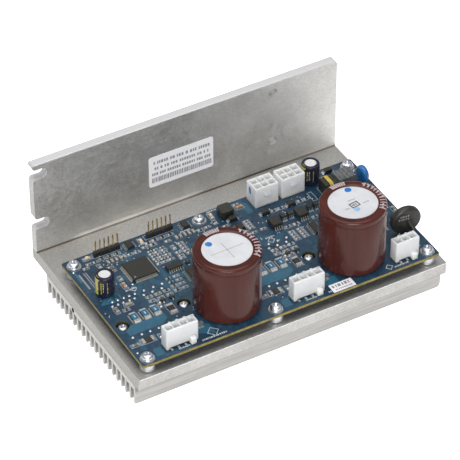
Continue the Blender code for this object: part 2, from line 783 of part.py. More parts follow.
def build_discs(board):
    thermistor = mesh_of("inrush_thermistor", coated_disc(8.55 * MM, 4.5 * MM, 1.6 * MM, 36))
    turn = (math.radians(94.4), 0, math.radians(-7.8))
    at = (166.7 * MM, 22.8 * MM, 9.2 * MM)
    place("inrush_thermistor", thermistor, thermistor_coat(), at, turn, board)
    disc = mesh_of("disc_capacitor", coated_disc(4.8 * MM, 3.8 * MM, 1.7 * MM, 28))
    turn = (0, math.radians(90), 0)
    at = (169.8 * MM, 69.8 * MM, 5.3 * MM)
    place("disc_capacitor", disc, blue_coat(), at, turn, board)


# ---------------------------------------------------------------- labels

def build_labels(bracket, board):
    thickness = 0.15 * MM
    sheet = rounded_rectangle(-19.25 * MM, 19.25 * MM, -10.0 * MM, 10.0 * MM, 1.5 * MM)
    at = (BOARD_LEFT + 82.25 * MM, FLANGE_FACE - GAP, BOARD_TOP + 19.8 * MM)
    mesh = mesh_of("flange_label", prism(sheet, 0, thickness, OUTLINE_IN_XZ))
    place("flange_label", mesh, label_stock(), at, parent=bracket)
    sheet = rectangle(110.6 * MM, 123.8 * MM, 0.4 * MM, 6.5 * MM)
    mesh = mesh_of("board_label", prism(sheet, 0, thickness))
    place("board_label", mesh, label_stock(), (0, 0, GAP), parent=board)


def build():
    clear_scene()
    bracket = build_bracket()
    build_heatsink(bracket)
    build_standoffs(bracket)
    ear_top = build_power_modules(bracket)
    build_module_screws(bracket, ear_top)
    board = build_board()
    build_board_screws(board)
    build_shunts(board)
    build_bus_capacitors(board)
    build_small_capacitors(board)
    build_output_connector(board, 1, 15.7 * MM, 33.6 * MM, 4)
    build_output_connector(board, 2, 89.1 * MM, 107.0 * MM, 4)
    build_output_connector(board, 3, 149.8 * MM, 163.6 * MM, 3)
    build_rear_connector(board, 1, 108.9 * MM, 77.7 * MM)
    build_rear_connector(board, 2, 125.0 * MM, 77.7 * MM)
    build_pin_headers(board)
    build_chips(board)
    build_power_inductor(board)
    build_transformer(board)
    build_discs(board)
    build_labels(bracket, board)


build()
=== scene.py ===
"""Looks of the open-frame servo drive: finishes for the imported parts, and the small parts of the board.

Places on the board are millimetres from the front left corner of its top face, as on a board
drawing, and heights are above that face. Everything else is in metres, in the frame of the model.
"""
import json
import math
import random

import bmesh
import bpy
from mathutils import Matrix, Vector


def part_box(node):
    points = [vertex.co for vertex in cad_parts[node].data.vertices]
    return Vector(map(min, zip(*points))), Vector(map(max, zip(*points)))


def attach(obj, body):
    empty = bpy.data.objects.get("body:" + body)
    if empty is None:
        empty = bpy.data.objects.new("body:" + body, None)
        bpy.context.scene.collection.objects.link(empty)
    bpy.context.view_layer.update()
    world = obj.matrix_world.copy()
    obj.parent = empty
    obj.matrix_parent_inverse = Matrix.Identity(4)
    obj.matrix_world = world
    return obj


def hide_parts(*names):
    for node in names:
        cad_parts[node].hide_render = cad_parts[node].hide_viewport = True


MM = 0.001
ROOT = "root"
CHANNEL_PITCH = 73.5  # the two output channels repeat along the board

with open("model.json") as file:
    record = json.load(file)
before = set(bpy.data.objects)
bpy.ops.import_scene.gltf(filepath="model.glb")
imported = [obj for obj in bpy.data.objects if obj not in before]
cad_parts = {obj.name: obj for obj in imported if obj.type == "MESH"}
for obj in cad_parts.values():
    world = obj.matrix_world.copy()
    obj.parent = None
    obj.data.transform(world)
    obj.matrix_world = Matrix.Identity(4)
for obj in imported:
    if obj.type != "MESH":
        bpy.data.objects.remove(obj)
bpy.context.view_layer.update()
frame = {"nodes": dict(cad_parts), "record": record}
board_low, board_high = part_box("circuit_board")
BOARD_ORIGIN = Vector((board_low.x, board_low.y, board_high.z))
FLANGE_THICKNESS = 0.0052
STANDOFF_HEIGHT = 0.00475
FIN_PITCH = 0.00478
PROBE_HOLE_INSET = 0.00085 + 14 * FIN_PITCH  # from the front of the heatsink
PROBE_HOLE_DEPTH = 0.012
BRACKET_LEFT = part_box("mounting_bracket")[0].x
FLANGE_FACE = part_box("mounting_bracket")[1].y - FLANGE_THICKNESS
PLATE_TOP = board_low.z - STANDOFF_HEIGHT


def board_box(node):
    """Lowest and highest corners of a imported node, in board millimetres."""
    low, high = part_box(node)
    return (low - BOARD_ORIGIN) / MM, (high - BOARD_ORIGIN) / MM


def middle(node):
    low, high = board_box(node)
    return (low + high) / 2


# ================================================================ materials

MATERIALS = {}


class Nodes:
    """Short ways to add and join the nodes of one shader tree."""

    def __init__(self, tree):
        self.tree = tree

    def add(self, kind):
        return self.tree.nodes.new(kind)

    def feed(self, socket, value):
        if isinstance(value, bpy.types.NodeSocket):
            self.tree.links.new(value, socket)
        elif isinstance(value, tuple) and len(value) == 3 and socket.type == "RGBA":
            socket.default_value = (*value, 1.0)
        else:
            socket.default_value = value

    def math(self, operation, a, b=0.0):
        node = self.add("ShaderNodeMath")
        node.operation = operation
        self.feed(node.inputs[0], a)
        self.feed(node.inputs[1], b)
        return node.outputs[0]

    def times(self, product, *factors):
        for factor in factors:
            product = self.math("MULTIPLY", product, factor)
        return product

    def plus(self, a, b):
        return self.math("ADD", a, b)

    def most(self, a, b):
        return self.math("MAXIMUM", a, b)

    def rest(self, mask):
        """What a mask leaves over."""
        return self.math("SUBTRACT", 1.0, mask)

    def apart(self, a, b):
        """Distance between two values."""
        return self.math("ABSOLUTE", self.math("SUBTRACT", a, b))

    def span(self, value, low, high, out_low=0.0, out_high=1.0):
        """Ramp from out_low to out_high while the value runs from low to high."""
        node = self.add("ShaderNodeMapRange")
        self.feed(node.inputs["Value"], value)
        limits = {"From Min": low, "From Max": high, "To Min": out_low, "To Max": out_high}
        for name, number in limits.items():
            node.inputs[name].default_value = number
        return node.outputs[0]

    def axes(self, socket):
        node = self.add("ShaderNodeSeparateXYZ")
        self.feed(node.inputs[0], socket)
        return node.outputs


class Finish(Nodes):
    """A Principled material with helpers for its pattern, kept in MATERIALS under its name."""

    def __init__(self, name, roughness=0.5, metallic=0.0):
        self.material = MATERIALS[name] = bpy.data.materials.new(name)
        self.material.use_nodes = True
        super().__init__(self.material.node_tree)
        self.shader = self.tree.nodes["Principled BSDF"]
        self.place = self.add("ShaderNodeTexCoord").outputs["Object"]
        self.set("Roughness", roughness)
        self.set("Metallic", metallic)

    def set(self, name, value):
        self.feed(self.shader.inputs[name], value)

    def stretched(self, x, y, z):
        """Object position with each axis scaled, so that a pattern runs along one of them."""
        node = self.add("ShaderNodeMapping")
        self.feed(node.inputs["Vector"], self.place)
        node.inputs["Scale"].default_value = (x, y, z)
        return node.outputs[0]

    def noise(self, scale, detail=3.0, vector=None, rough=0.55):
        node = self.add("ShaderNodeTexNoise")
        self.feed(node.inputs["Vector"], self.place if vector is None else vector)
        node.inputs["Scale"].default_value = scale
        node.inputs["Detail"].default_value = detail
        node.inputs["Roughness"].default_value = rough
        return node.outputs["Fac"]

    def mix(self, factor, first, second):
        """Blend of two colours."""
        node = self.add("ShaderNodeMix")
        node.data_type = "RGBA"
        self.feed(node.inputs[0], factor)
        colours = [socket for socket in node.inputs if socket.type == "RGBA"]
        self.feed(colours[0], first)
        self.feed(colours[1], second)
        return [socket for socket in node.outputs if socket.type == "RGBA"][0]

    def normal(self):
        return self.axes(self.add("ShaderNodeNewGeometry").outputs["True Normal"])

    def bump(self, height, strength, depth):
        node = self.add("ShaderNodeBump")
        node.inputs["Strength"].default_value = strength
        node.inputs["Distance"].default_value = depth
        self.feed(node.inputs["Height"], height)
        self.set("Normal", node.outputs[0])

    def worn(self, first, second, scale):
        """Base colour that drifts between two tones."""
        self.set("Base Color", self.mix(self.span(self.noise(scale, 4.0), 0.35, 0.65), first, second))

    def vary_roughness(self, scale, low, high, detail=3.0):
        self.set("Roughness", self.span(self.noise(scale, detail), 0.3, 0.7, low, high))


def mill_aluminium():
    """Rolled plate, matte and mottled, with painted light and shade on its faces, painted highlights on its
    edges, and a painted highlight stripe over a brown line of painted shade in the inner corner.
    """
    f = Finish("mill_aluminium", 0.58, 1.0)
    x, y, z = f.axes(f.place)
    facing_x, facing_y, up = f.normal()
    grain = f.noise(1500, 3.0, f.stretched(0.5, 1.0, 1.0), 0.7)
    cloud = f.noise(60, 5.0, rough=0.65)
    specks = f.noise(2600, 2.0, rough=0.8)
    tone = f.span(f.plus(f.times(grain, 0.55), f.times(cloud, 0.45)), 0.36, 0.64)
    metal = f.mix(tone, (0.50, 0.49, 0.47), (0.72, 0.715, 0.70))

    # The flange's front face: a painted reflection that makes it lighter to the right, and a painted sheen
    # that makes it paler near its foot on the left
    wall = f.times(f.span(facing_y, -0.9, -0.95), f.span(z, PLATE_TOP, PLATE_TOP + 0.0005))
    fade = f.span(z, PLATE_TOP + 0.02, PLATE_TOP + 0.055, 1.0, 0.4)
    right_sheen = f.times(f.span(x, -0.005, 0.085), wall, fade)
    metal = f.mix(right_sheen, metal, f.mix(tone, (0.80, 0.79, 0.77), (0.98, 0.975, 0.96)))
    foot = f.span(z, PLATE_TOP + 0.016, PLATE_TOP + 0.002)
    foot_sheen = f.times(f.span(x, -0.075, -0.03), f.span(x, 0.012, -0.015), wall, foot)
    metal = f.mix(f.times(foot_sheen, 0.5), metal, (0.92, 0.90, 0.87))

    # The plate's top: speckled, with painted shade that darkens it and painted light that makes it lighter
    # behind the board; and painted shade on its darker left end
    high = f.span(z, PLATE_TOP + 0.010, PLATE_TOP + 0.011)
    behind = f.span(y, board_high.y - 0.002, board_high.y + 0.002)
    behind = f.times(behind, f.span(x, 0.04, 0.0), f.span(x, -0.078, -0.062))
    spots = f.span(specks, 0.38, 0.62)
    shaded_top = f.mix(spots, (0.34, 0.33, 0.31), (0.62, 0.61, 0.59))
    shaded_top = f.mix(behind, shaded_top, f.mix(spots, (0.44, 0.43, 0.41), (0.73, 0.72, 0.70)))
    metal = f.mix(f.times(f.span(up, 0.9, 0.95), f.rest(high), 0.8), metal, shaded_top)
    end = f.times(f.span(facing_x, -0.95, -0.99), f.span(z, PLATE_TOP, PLATE_TOP - 0.0005))
    metal = f.mix(end, metal, f.mix(f.span(specks, 0.4, 0.6), (0.36, 0.35, 0.33), (0.60, 0.59, 0.57)))

    # Painted highlights on the broken edges and on the flange's cut top
    ridge = f.times(f.span(up, 0.25, 0.4), f.span(up, 0.97, 0.9))
    bright = f.most(ridge, f.times(f.span(up, 0.6, 0.8), high))
    metal = f.mix(bright, metal, f.mix(high, (0.90, 0.895, 0.90), (0.70, 0.695, 0.705)))

    # The inner corner: a pale stripe of painted highlight above a brown line of painted shade, plain in the
    # middle and at the left end
    above = f.apart(z, PLATE_TOP)
    ahead = f.apart(FLANGE_FACE, y)
    plain = f.times(f.span(x, -0.002, 0.010), f.span(x, 0.060, 0.050))
    plain = f.most(plain, f.span(x, -0.062, -0.072))
    wavy = f.math("SUBTRACT", above, f.times(f.noise(70, 3.0), 0.0006))
    stripe = f.times(f.span(above, 0.0006, 0.0008), f.span(wavy, 0.0024, 0.0017),
                     f.span(ahead, 0.0008, 0.0004), f.rest(plain))
    metal = f.mix(stripe, metal, (0.80, 0.77, 0.72))
    # Faces that point down are painted dark: painted shade under the plate
    metal = f.mix(f.span(up, -0.1, -0.4), metal, (0.12, 0.11, 0.10))
    corner_shade = f.times(f.span(f.plus(above, ahead), 0.00076, 0.0006), f.span(plain, 0.0, 1.0, 0.85, 1.0))
    f.set("Base Color", f.mix(corner_shade, metal, (0.10, 0.07, 0.045)))
    # The painted highlights and the painted stripe are made less metallic
    f.set("Metallic", f.rest(f.times(f.most(bright, stripe), 0.75)))
    f.vary_roughness(420, 0.52, 0.66, 4.0)
    f.bump(grain, 0.35, 0.00006)


def extruded_aluminium():
    """Extrusion, matte, with die lines along X; painted shade in the probe hole at the left end, faces that
    look left painted lighter as painted light, and a painted shadow on the front under the plate.
    """
    f = Finish("extruded_aluminium", 0.55, 1.0)
    x, y, z = f.axes(f.place)
    facing_x, facing_y, _ = f.normal()
    lines = f.noise(700, 3.0, f.stretched(0.03, 1.0, 1.0))
    metal = f.mix(f.span(lines, 0.35, 0.65), (0.50, 0.49, 0.47), (0.64, 0.63, 0.61))
    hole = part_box("heatsink")[0].y + PROBE_HOLE_INSET
    depth = BRACKET_LEFT + PROBE_HOLE_DEPTH
    # Painted shade: the walls of the probe hole are painted nearly black
    hole_shade = f.times(f.span(f.math("ABSOLUTE", facing_x), 0.3, 0.1), f.span(x, depth + 0.001, depth),
                   f.span(f.apart(y, hole), 0.0016, 0.00145), f.span(z, 0.0088, 0.0089))
    metal = f.mix(hole_shade, metal, (0.02, 0.018, 0.016))
    # Faces that look left are painted lighter: painted light
    metal = f.mix(f.times(f.span(facing_x, -0.95, -0.99), 0.25), metal, (0.80, 0.79, 0.77))
    shade = f.times(f.span(facing_y, -0.9, -0.99), f.span(z, 0.0076, 0.0088), 0.6)
    f.set("Base Color", f.mix(shade, metal, (0.16, 0.15, 0.14)))
    f.vary_roughness(150, 0.48, 0.6)
    f.bump(lines, 0.3, 0.00005)


def plated_steel():
    f = Finish("plated_steel", 0.3, 1.0)
    f.worn((0.66, 0.69, 0.73), (0.78, 0.80, 0.84), 900)
    f.vary_roughness(1200, 0.26, 0.38)
    f.bump(f.noise(2500, 2.0), 0.08, 0.00003)


def solder_mask(name, dark, light):
    """Glossy mask over fine tracks, blue on the faces; bare laminate on the edges, and darker laminate in
    the holes as painted shade.
    """
    f = Finish(name, 0.3)
    x, y, _ = f.axes(f.place)
    weave = f.noise(420, 3.0)
    patch = f.noise(75, 4.0)
    blend = f.span(f.plus(f.times(weave, 0.5), f.times(patch, 0.5)), 0.35, 0.65)
    cells = f.add("ShaderNodeTexVoronoi")
    cells.distance = "CHEBYCHEV"
    f.feed(cells.inputs["Vector"], f.place)
    cells.inputs["Scale"].default_value = 520
    ripple = f.math("SINE", f.times(cells.outputs["Distance"], 26.0))
    busy = f.times(f.span(ripple, 0.2, 0.9), f.span(f.noise(48, 3.0), 0.42, 0.58))
    mask = f.mix(f.times(busy, 0.75), f.mix(blend, dark, light), (0.035, 0.115, 0.17))
    rims = []
    for place, low, high in ((x, board_low.x, board_high.x), (y, board_low.y, board_high.y)):
        half = (high - low) / 2
        rims.append(f.span(f.apart(place, (low + high) / 2), half - 0.0015, half - 0.001))
    edge = f.mix(f.span(f.noise(500, 3.0), 0.3, 0.7), (0.16, 0.12, 0.012), (0.36, 0.28, 0.045))
    # Hole walls, away from the outer edge, get the darker laminate: painted shade
    edge = f.mix(f.most(*rims), (0.07, 0.055, 0.012), edge)
    level = f.math("ABSOLUTE", f.normal()["Z"])
    f.set("Base Color", f.mix(f.span(level, 0.4, 0.6), edge, mask))
    f.vary_roughness(300, 0.26, 0.42)
    f.set("Coat Weight", 0.2)
    f.set("Coat Roughness", 0.2)
    f.bump(f.plus(weave, f.times(busy, 0.8)), 0.2, 0.00005)


def speckled(name, first, second, scale, roughness, grit=0.1, metallic=0.0):
    """General moulded, dipped or printed finish: two close tones, uneven gloss and a fine surface."""
    f = Finish(name, roughness, metallic)
    f.worn(first, second, scale)
    f.vary_roughness(scale * 0.7, roughness * 0.8, min(1.0, roughness * 1.25))
    f.bump(f.noise(scale * 3, 3.0), grit, 0.00004)


def nylon():
    """Natural nylon: milky and translucent, with painted shade that makes it darker and warmer towards the
    foot.
    """
    f = Finish("natural_nylon", 0.36)
    height = f.span(f.axes(f.place)["Z"], board_high.z, board_high.z + 0.006)
    cloud = f.span(f.noise(200, 3.0), 0.35, 0.65)
    # Painted shade: the foot is darker and warmer than the top
    shaded_foot = f.mix(cloud, (0.72, 0.71, 0.60), (0.78, 0.77, 0.67))
    cool = f.mix(cloud, (0.86, 0.88, 0.87), (0.92, 0.94, 0.93))
    f.set("Base Color", f.mix(height, shaded_foot, cool))
    f.set("Subsurface Weight", 1.0)
    f.set("Subsurface Radius", (0.0045, 0.0044, 0.0038))
    f.set("Subsurface Scale", 1.0)
    f.vary_roughness(500, 0.28, 0.42)
    f.bump(f.noise(900, 2.0), 0.1, 0.00004)


def sleeve_film(name, dark, light):
    """Shrink film: glossy, with long folds and faint ripples drawn down the can."""
    f = Finish(name, 0.25)
    folds = f.noise(95, 2.0, f.stretched(1.0, 1.0, 0.07))
    ripples = f.noise(520, 3.0, f.stretched(1.0, 1.0, 0.08))
    f.set("Base Color", f.mix(f.span(folds, 0.38, 0.62), dark, light))
    f.vary_roughness(400, 0.16, 0.28)
    f.set("Specular IOR Level", 0.25)
    f.set("Coat Weight", 0.12)
    f.set("Coat Roughness", 0.08)
    f.bump(f.plus(folds, f.times(ripples, 0.3)), 0.45, 0.0005)


def vent_card():
    """White end disc of a capacitor with fine scratches."""
    f = Finish("white_card", 0.45)
    scratch = f.noise(260, 5.0, f.stretched(1.0, 0.15, 1.0), 0.7)
    tone = f.span(f.plus(f.times(scratch, 0.4), f.times(f.noise(120, 3.0), 0.6)), 0.35, 0.6)
    f.set("Base Color", f.mix(tone, (0.62, 0.63, 0.65), (0.72, 0.73, 0.76)))
    f.bump(scratch, 0.15, 0.00008)


def ferrite():
    """Pressed ferrite: grey and grainy, darker in the inductor than in the transformer."""
    f = Finish("ferrite", 0.45)
    grain = f.span(f.noise(700, 4.0), 0.35, 0.65)
    dark = f.mix(grain, (0.020, 0.020, 0.014), (0.042, 0.041, 0.032))
    light = f.mix(grain, (0.11, 0.114, 0.118), (0.20, 0.206, 0.212))
    between = (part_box("power_inductor")[1].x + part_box("transformer_core")[0].x) / 2
    f.set("Base Color", f.mix(f.span(f.axes(f.place)["X"], between, between + 0.001), dark, light))
    f.vary_roughness(490, 0.36, 0.56)
    f.bump(f.noise(2100, 3.0), 0.3, 0.00004)


def label_stock():
    f = Finish("label_stock", 0.5)
    f.worn((0.90, 0.90, 0.94), (0.95, 0.95, 0.98), 300)
    f.bump(f.noise(1500, 2.0), 0.1, 0.00003)


def make_materials():
    """Every finish: the patterned ones first, then the general ones from one table."""
    for make in (mill_aluminium, extruded_aluminium, plated_steel, nylon, vent_card, ferrite, label_stock):
        make()
    solder_mask("board_laminate", (0.006, 0.028, 0.060), (0.014, 0.055, 0.10))
    solder_mask("copper_under_mask", (0.020, 0.102, 0.172), (0.032, 0.137, 0.212))
    sleeve_film("maroon_sleeve", (0.066, 0.015, 0.011), (0.096, 0.024, 0.018))
    sleeve_film("navy_sleeve", (0.010, 0.010, 0.028), (0.022, 0.021, 0.045))
    general = (
        ("module_resin", (0.018, 0.018, 0.02), (0.03, 0.03, 0.032), 900, 0.5, 0.2),
        ("thermal_film", (0.50, 0.45, 0.38), (0.60, 0.55, 0.46), 400, 0.7),
        ("capacitor_can", (0.78, 0.78, 0.79), (0.88, 0.88, 0.88), 500, 0.45, 0.1, 0.4),
        ("header_black", (0.012, 0.012, 0.012), (0.022, 0.022, 0.022), 900, 0.42, 0.2),
        ("chip_resin", (0.016, 0.016, 0.013), (0.029, 0.028, 0.024), 1500, 0.42, 0.25),
        ("winding_black", (0.016, 0.016, 0.014), (0.035, 0.034, 0.028), 600, 0.4, 0.3),
        ("polyester_tape", (0.58, 0.42, 0.05), (0.72, 0.54, 0.10), 400, 0.3),
        ("thermistor_coat", (0.020, 0.018, 0.015), (0.045, 0.041, 0.034), 350, 0.4, 0.35),
        ("blue_coat", (0.015, 0.13, 0.38), (0.035, 0.21, 0.52), 250, 0.22),
        ("shunt_blue", (0.010, 0.11, 0.22), (0.022, 0.16, 0.29), 800, 0.35),
        ("tin", (0.70, 0.70, 0.70), (0.86, 0.86, 0.85), 1500, 0.3, 0.15, 1.0),
        ("lead_frame", (0.40, 0.38, 0.33), (0.58, 0.55, 0.48), 1500, 0.4, 0.15, 0.6),
        ("gold", (0.70, 0.50, 0.24), (0.90, 0.70, 0.38), 900, 0.28, 0.1, 1.0),
        ("silkscreen", (0.50, 0.53, 0.56), (0.68, 0.70, 0.72), 1500, 0.6),
        ("resistor_black", (0.016, 0.013, 0.012), (0.05, 0.042, 0.036), 900, 0.4),
        ("resistor_grey", (0.13, 0.115, 0.11), (0.20, 0.18, 0.17), 900, 0.45),
        ("ceramic_tan", (0.15, 0.10, 0.06), (0.26, 0.18, 0.11), 900, 0.5),
        ("ceramic_beige", (0.30, 0.24, 0.16), (0.44, 0.36, 0.26), 900, 0.5),
        ("tantalum_orange", (0.40, 0.14, 0.03), (0.55, 0.22, 0.06), 700, 0.4),
        ("led_lens", (0.70, 0.52, 0.32), (0.85, 0.68, 0.46), 700, 0.25, 0.05),
        ("print_mauve", (0.42, 0.34, 0.36), (0.58, 0.50, 0.52), 500, 0.35),
        ("print_yellow", (0.42, 0.40, 0.05), (0.58, 0.55, 0.10), 500, 0.35),
        ("print_grey", (0.24, 0.235, 0.25), (0.36, 0.355, 0.37), 900, 0.5),
        ("print_black", (0.02, 0.02, 0.02), (0.06, 0.06, 0.06), 900, 0.5),
        ("ink_blue", (0.012, 0.14, 0.46), (0.035, 0.24, 0.62), 500, 0.4),
        ("ink_light_blue", (0.25, 0.45, 0.72), (0.38, 0.60, 0.85), 500, 0.4),
    )
    for row in general:
        speckled(*row)


# ================================================================ mesh building

class Shape:
    """Gathers closed solids for one piece, in board millimetres."""

    def __init__(self, name, material, soften=0.0, smooth=True):
        self.name = name
        self.material = material
        self.soften = soften
        self.smooth = smooth
        self.bm = bmesh.new()

    def loft(self, rings, caps=True):
        """Skin over rings of points; each ring is a list of (x, y, z)."""
        rows = [[self.bm.verts.new(point) for point in ring] for ring in rings]
        count = len(rows[0])
        for lower, upper in zip(rows, rows[1:]):
            for i in range(count):
                j = (i + 1) % count
                self.bm.faces.new((lower[i], lower[j], upper[j], upper[i]))
        if caps:
            self.bm.faces.new(list(reversed(rows[0])))
            self.bm.faces.new(rows[-1])

    def prism(self, outline, low, high):
        self.loft([[(x, y, z) for x, y in outline] for z in (low, high)])

    def box(self, x, y, low, high, width, depth, turn=0.0):
        """Upright box centred at x, y and turned about its own middle, in degrees."""
        self.prism(turned(rectangle(width, depth), x, y, turn), low, high)

    def lathe(self, x, y, profile, segments=16):
        """Solid of revolution from (radius, height) points, flat at both ends."""
        rings = []
        for radius, height in profile:
            rings.append([(x + px, y + py, height) for px, py in circle(radius, segments)])
        self.loft(rings)

    def ring(self, x, y, section, segments):
        """Solid of revolution from a closed (radius, height) section."""
        rings = []
        for radius, height in (*section, section[0]):
            rings.append([(x + px, y + py, height) for px, py in circle(radius, segments)])
        self.loft(rings, caps=False)
        bmesh.ops.remove_doubles(self.bm, verts=self.bm.verts, dist=1e-5)

    def tube(self, points, radius):
        """Round wire through points."""
        path = [Vector(point) for point in points]
        rings = []
        for i, point in enumerate(path):
            ahead = path[min(i + 1, len(path) - 1)] - path[max(i - 1, 0)]
            side = ahead.cross(Vector((0.3, 1.0, 0.2))).normalized()
            other = ahead.cross(side).normalized()
            rings.append([point + side * px + other * py for px, py in circle(radius, 8)])
        self.loft(rings)

    def make(self):
        bmesh.ops.recalc_face_normals(self.bm, faces=self.bm.faces)
        mesh = bpy.data.meshes.new(self.name)
        self.bm.to_mesh(mesh)
        self.bm.free()
        mesh.transform(Matrix.Translation(BOARD_ORIGIN) @ Matrix.Scale(MM, 4))
        mesh.materials.append(MATERIALS[self.material])
        if self.smooth:
            mesh.shade_smooth()
            mesh.set_sharp_from_angle(angle=math.radians(40))
        piece = new_object(self.name, mesh)
        if self.soften:
            bevel(piece, self.soften * MM)
        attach(piece, ROOT)
        return piece

    def take_over(self, node):
        """Make the piece and put it in the place of a packed one."""
        piece = self.make()
        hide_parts(node)


def new_object(name, data):
    thing = bpy.data.objects.new(name, data)
    bpy.context.scene.collection.objects.link(thing)
    return thing


def rectangle(width, depth):
    x, y = width / 2, depth / 2
    return [(-x, -y), (x, -y), (x, y), (-x, y)]


def circle(radius, segments):
    angles = [2 * math.pi * i / segments for i in range(segments)]
    return [(radius * math.cos(angle), radius * math.sin(angle)) for angle in angles]


def turned(outline, x, y, turn):
    """Outline turned by degrees about its own origin, then moved to x, y."""
    c = math.cos(math.radians(turn))
    s = math.sin(math.radians(turn))
    return [(x + c * px - s * py, y + s * px + c * py) for px, py in outline]


def bevel(piece, width):
    """Round the sharp edges of a piece, by a modifier."""
    change = piece.modifiers.new("bevel", "BEVEL")
    change.width = width
    change.segments = 2
    change.limit_method = "ANGLE"
    change.angle_limit = math.radians(35)
    change.harden_normals = True
    change.miter_outer = "MITER_ARC"


def dress(node, material, soften=0.0):
    """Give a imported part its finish, smooth shading and slightly broken edges."""
    piece = frame["nodes"][node]
    mesh = piece.data
    mesh.materials.clear()
    mesh.materials.append(MATERIALS[material])
    mesh.shade_smooth()
    weld = piece.modifiers.new("weld", "WELD")
    weld.merge_threshold = 1e-6
    if soften:
        bevel(piece, soften * MM)
        flatten = piece.modifiers.new("flatten", "WEIGHTED_NORMAL")
        flatten.weight = 100
        flatten.keep_sharp = True
    else:
        split = piece.modifiers.new("edges", "EDGE_SPLIT")
        split.split_angle = math.radians(35)


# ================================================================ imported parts

def dress_parts():
    """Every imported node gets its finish; the number softens its edges, in millimetres."""
    softness = {"mounting_bracket": 0.45, "heatsink": 0.12, "circuit_board": 0.06, "power_module": 0.2,
                "output_connector": 0.25, "pin_header": 0.1, "controller_chip": 0.08,
                "driver_chip": 0.06, "optocoupler": 0.1, "power_inductor": 0.2, "transformer_core": 0.2,
                "transformer_winding": 0.3, "current_shunt": 0.06}
    for entry in frame["record"]["subparts"]:
        node = entry["node"]
        family = node.rstrip("0123456789").rstrip("_")
        dress(node, entry["material_slot"], softness.get(family, 0.0))


# ================================================================ bare board: copper and print

SUNK = -0.05  # flat pieces reach this far into what they lie on
COPPER_TOP = 0.02
PRINT_TOP = 0.035
TRACK_WIDTH = 0.24


def channels():
    return (0.0, CHANNEL_PITCH)


def add_pours():
    """Wide copper areas that show through the mask: four in each channel and four elsewhere."""
    copper = Shape("copper_pours", "copper_under_mask")
    repeated = (
        [(5, 23), (24, 23), (28, 26), (28, 30), (9, 30), (5, 27)],
        [(10, 3), (14.5, 3), (14.5, 9), (11, 9), (10, 8)],
        [(35, 8), (44, 4), (44, 12), (38, 14), (35, 14)],
        [(29.5, 8), (34, 10), (34, 22), (29.5, 24)],
    )
    single = (
        [(2, 70), (3.4, 71), (3.4, 78), (2, 79)],
        [(104, 76), (107, 77), (107, 84), (104, 88)],
        [(10, 49), (15, 50.5), (15, 54), (6, 54), (3, 50)],
        [(140, 58), (146, 60), (146, 64), (140, 64)],
    )
    for outlines, shift in ((repeated, 0.0), (repeated, CHANNEL_PITCH), (single, 0.0)):
        for outline in outlines:
            copper.prism([(x + shift, y) for x, y in outline], SUNK, COPPER_TOP)
    copper.make()


def add_tracks():
    """Bundles of parallel tracks with mitred bends, a little proud of the laminate."""
    tracks = Shape("copper_tracks", "copper_under_mask", smooth=False)
    bundles = (
        ([(42, 62), (43.5, 62), (43.5, 44), (41, 41)], 6, 0.5),
        ([(28, 56.5), (28, 53), (24, 49)], 9, 0.5),
        ([(36, 56.5), (36, 54.5), (40, 50.5), (40, 46)], 6, 0.5),
        ([(24.5, 62), (17, 62), (14, 59), (14, 50)], 7, 0.5),
        ([(30, 73.5), (30, 80), (27, 83)], 7, 0.5),
        ([(47, 55), (47, 53), (58, 53), (62, 57)], 5, 0.6),
        ([(54, 60), (88, 60), (91, 57), (103, 57)], 7, 0.55),
        ([(62, 70), (84, 70), (87, 73)], 6, 0.55),
        ([(64, 84), (66, 84)], 4, 0.6),
        ([(98, 52), (106, 52), (110, 56)], 6, 0.6),
        ([(112, 70), (112, 74), (108, 78)], 4, 0.6),
        ([(140, 50), (150, 50), (156, 44), (170, 44)], 8, 0.7),
        ([(140, 57), (158, 57), (162, 61)], 5, 0.8),
        ([(106, 10), (108, 12), (108, 26)], 4, 0.7),
        ([(6, 10), (6, 19)], 4, 0.6),
    )
    for points, count, pitch in bundles:
        for index in range(count):
            draw_track(tracks, shifted_path(points, index * pitch))
    tracks.make()


def shifted_path(points, offset):
    """A path moved sideways by offset, keeping its corners mitred."""
    path = [Vector(point) for point in points]
    sides = []
    for a, b in zip(path, path[1:]):
        run = (b - a).normalized()
        sides.append(Vector((-run.y, run.x)))
    moved = []
    for i, point in enumerate(path):
        before = sides[max(i - 1, 0)]
        after = sides[min(i, len(sides) - 1)]
        corner = (before + after).normalized()
        moved.append(point - corner * offset / max(0.5, corner.dot(after)))
    return moved


def draw_track(shape, path):
    """Flat strip along a path, with mitred bends."""
    left = shifted_path(path, -TRACK_WIDTH / 2)
    right = shifted_path(path, TRACK_WIDTH / 2)
    for i in range(len(path) - 1):
        shape.prism([point[:] for point in (right[i], right[i + 1], left[i + 1], left[i])], SUNK, COPPER_TOP)


def frame_outline(shape, x, y, width, depth, line=0.18, turn=0.0, top=PRINT_TOP):
    """Printed rectangle outline."""
    for side in (-1, 1):
        bars = ((0, side * depth / 2, width + line, line), (side * width / 2, 0, line, depth - line))
        for px, py, bar_width, bar_depth in bars:
            ((cx, cy),) = turned([(px, py)], x, y, turn)
            shape.box(cx, cy, SUNK, top, bar_width, bar_depth, turn)


def dashes(shape, x, y, length, height, turn, seed, top=PRINT_TOP, gap=0.35):
    """A row of short marks of uneven width: what small print looks like from afar."""
    draw = random.Random(seed)
    position = 0.0
    while position < length:
        width = draw.uniform(0.35, 0.8) * height
        ((cx, cy),) = turned([(position + width / 2 - length / 2, 0)], x, y, turn)
        shape.box(cx, cy, SUNK, top, width, height, turn)
        position += width + gap * height * draw.uniform(0.8, 1.6)


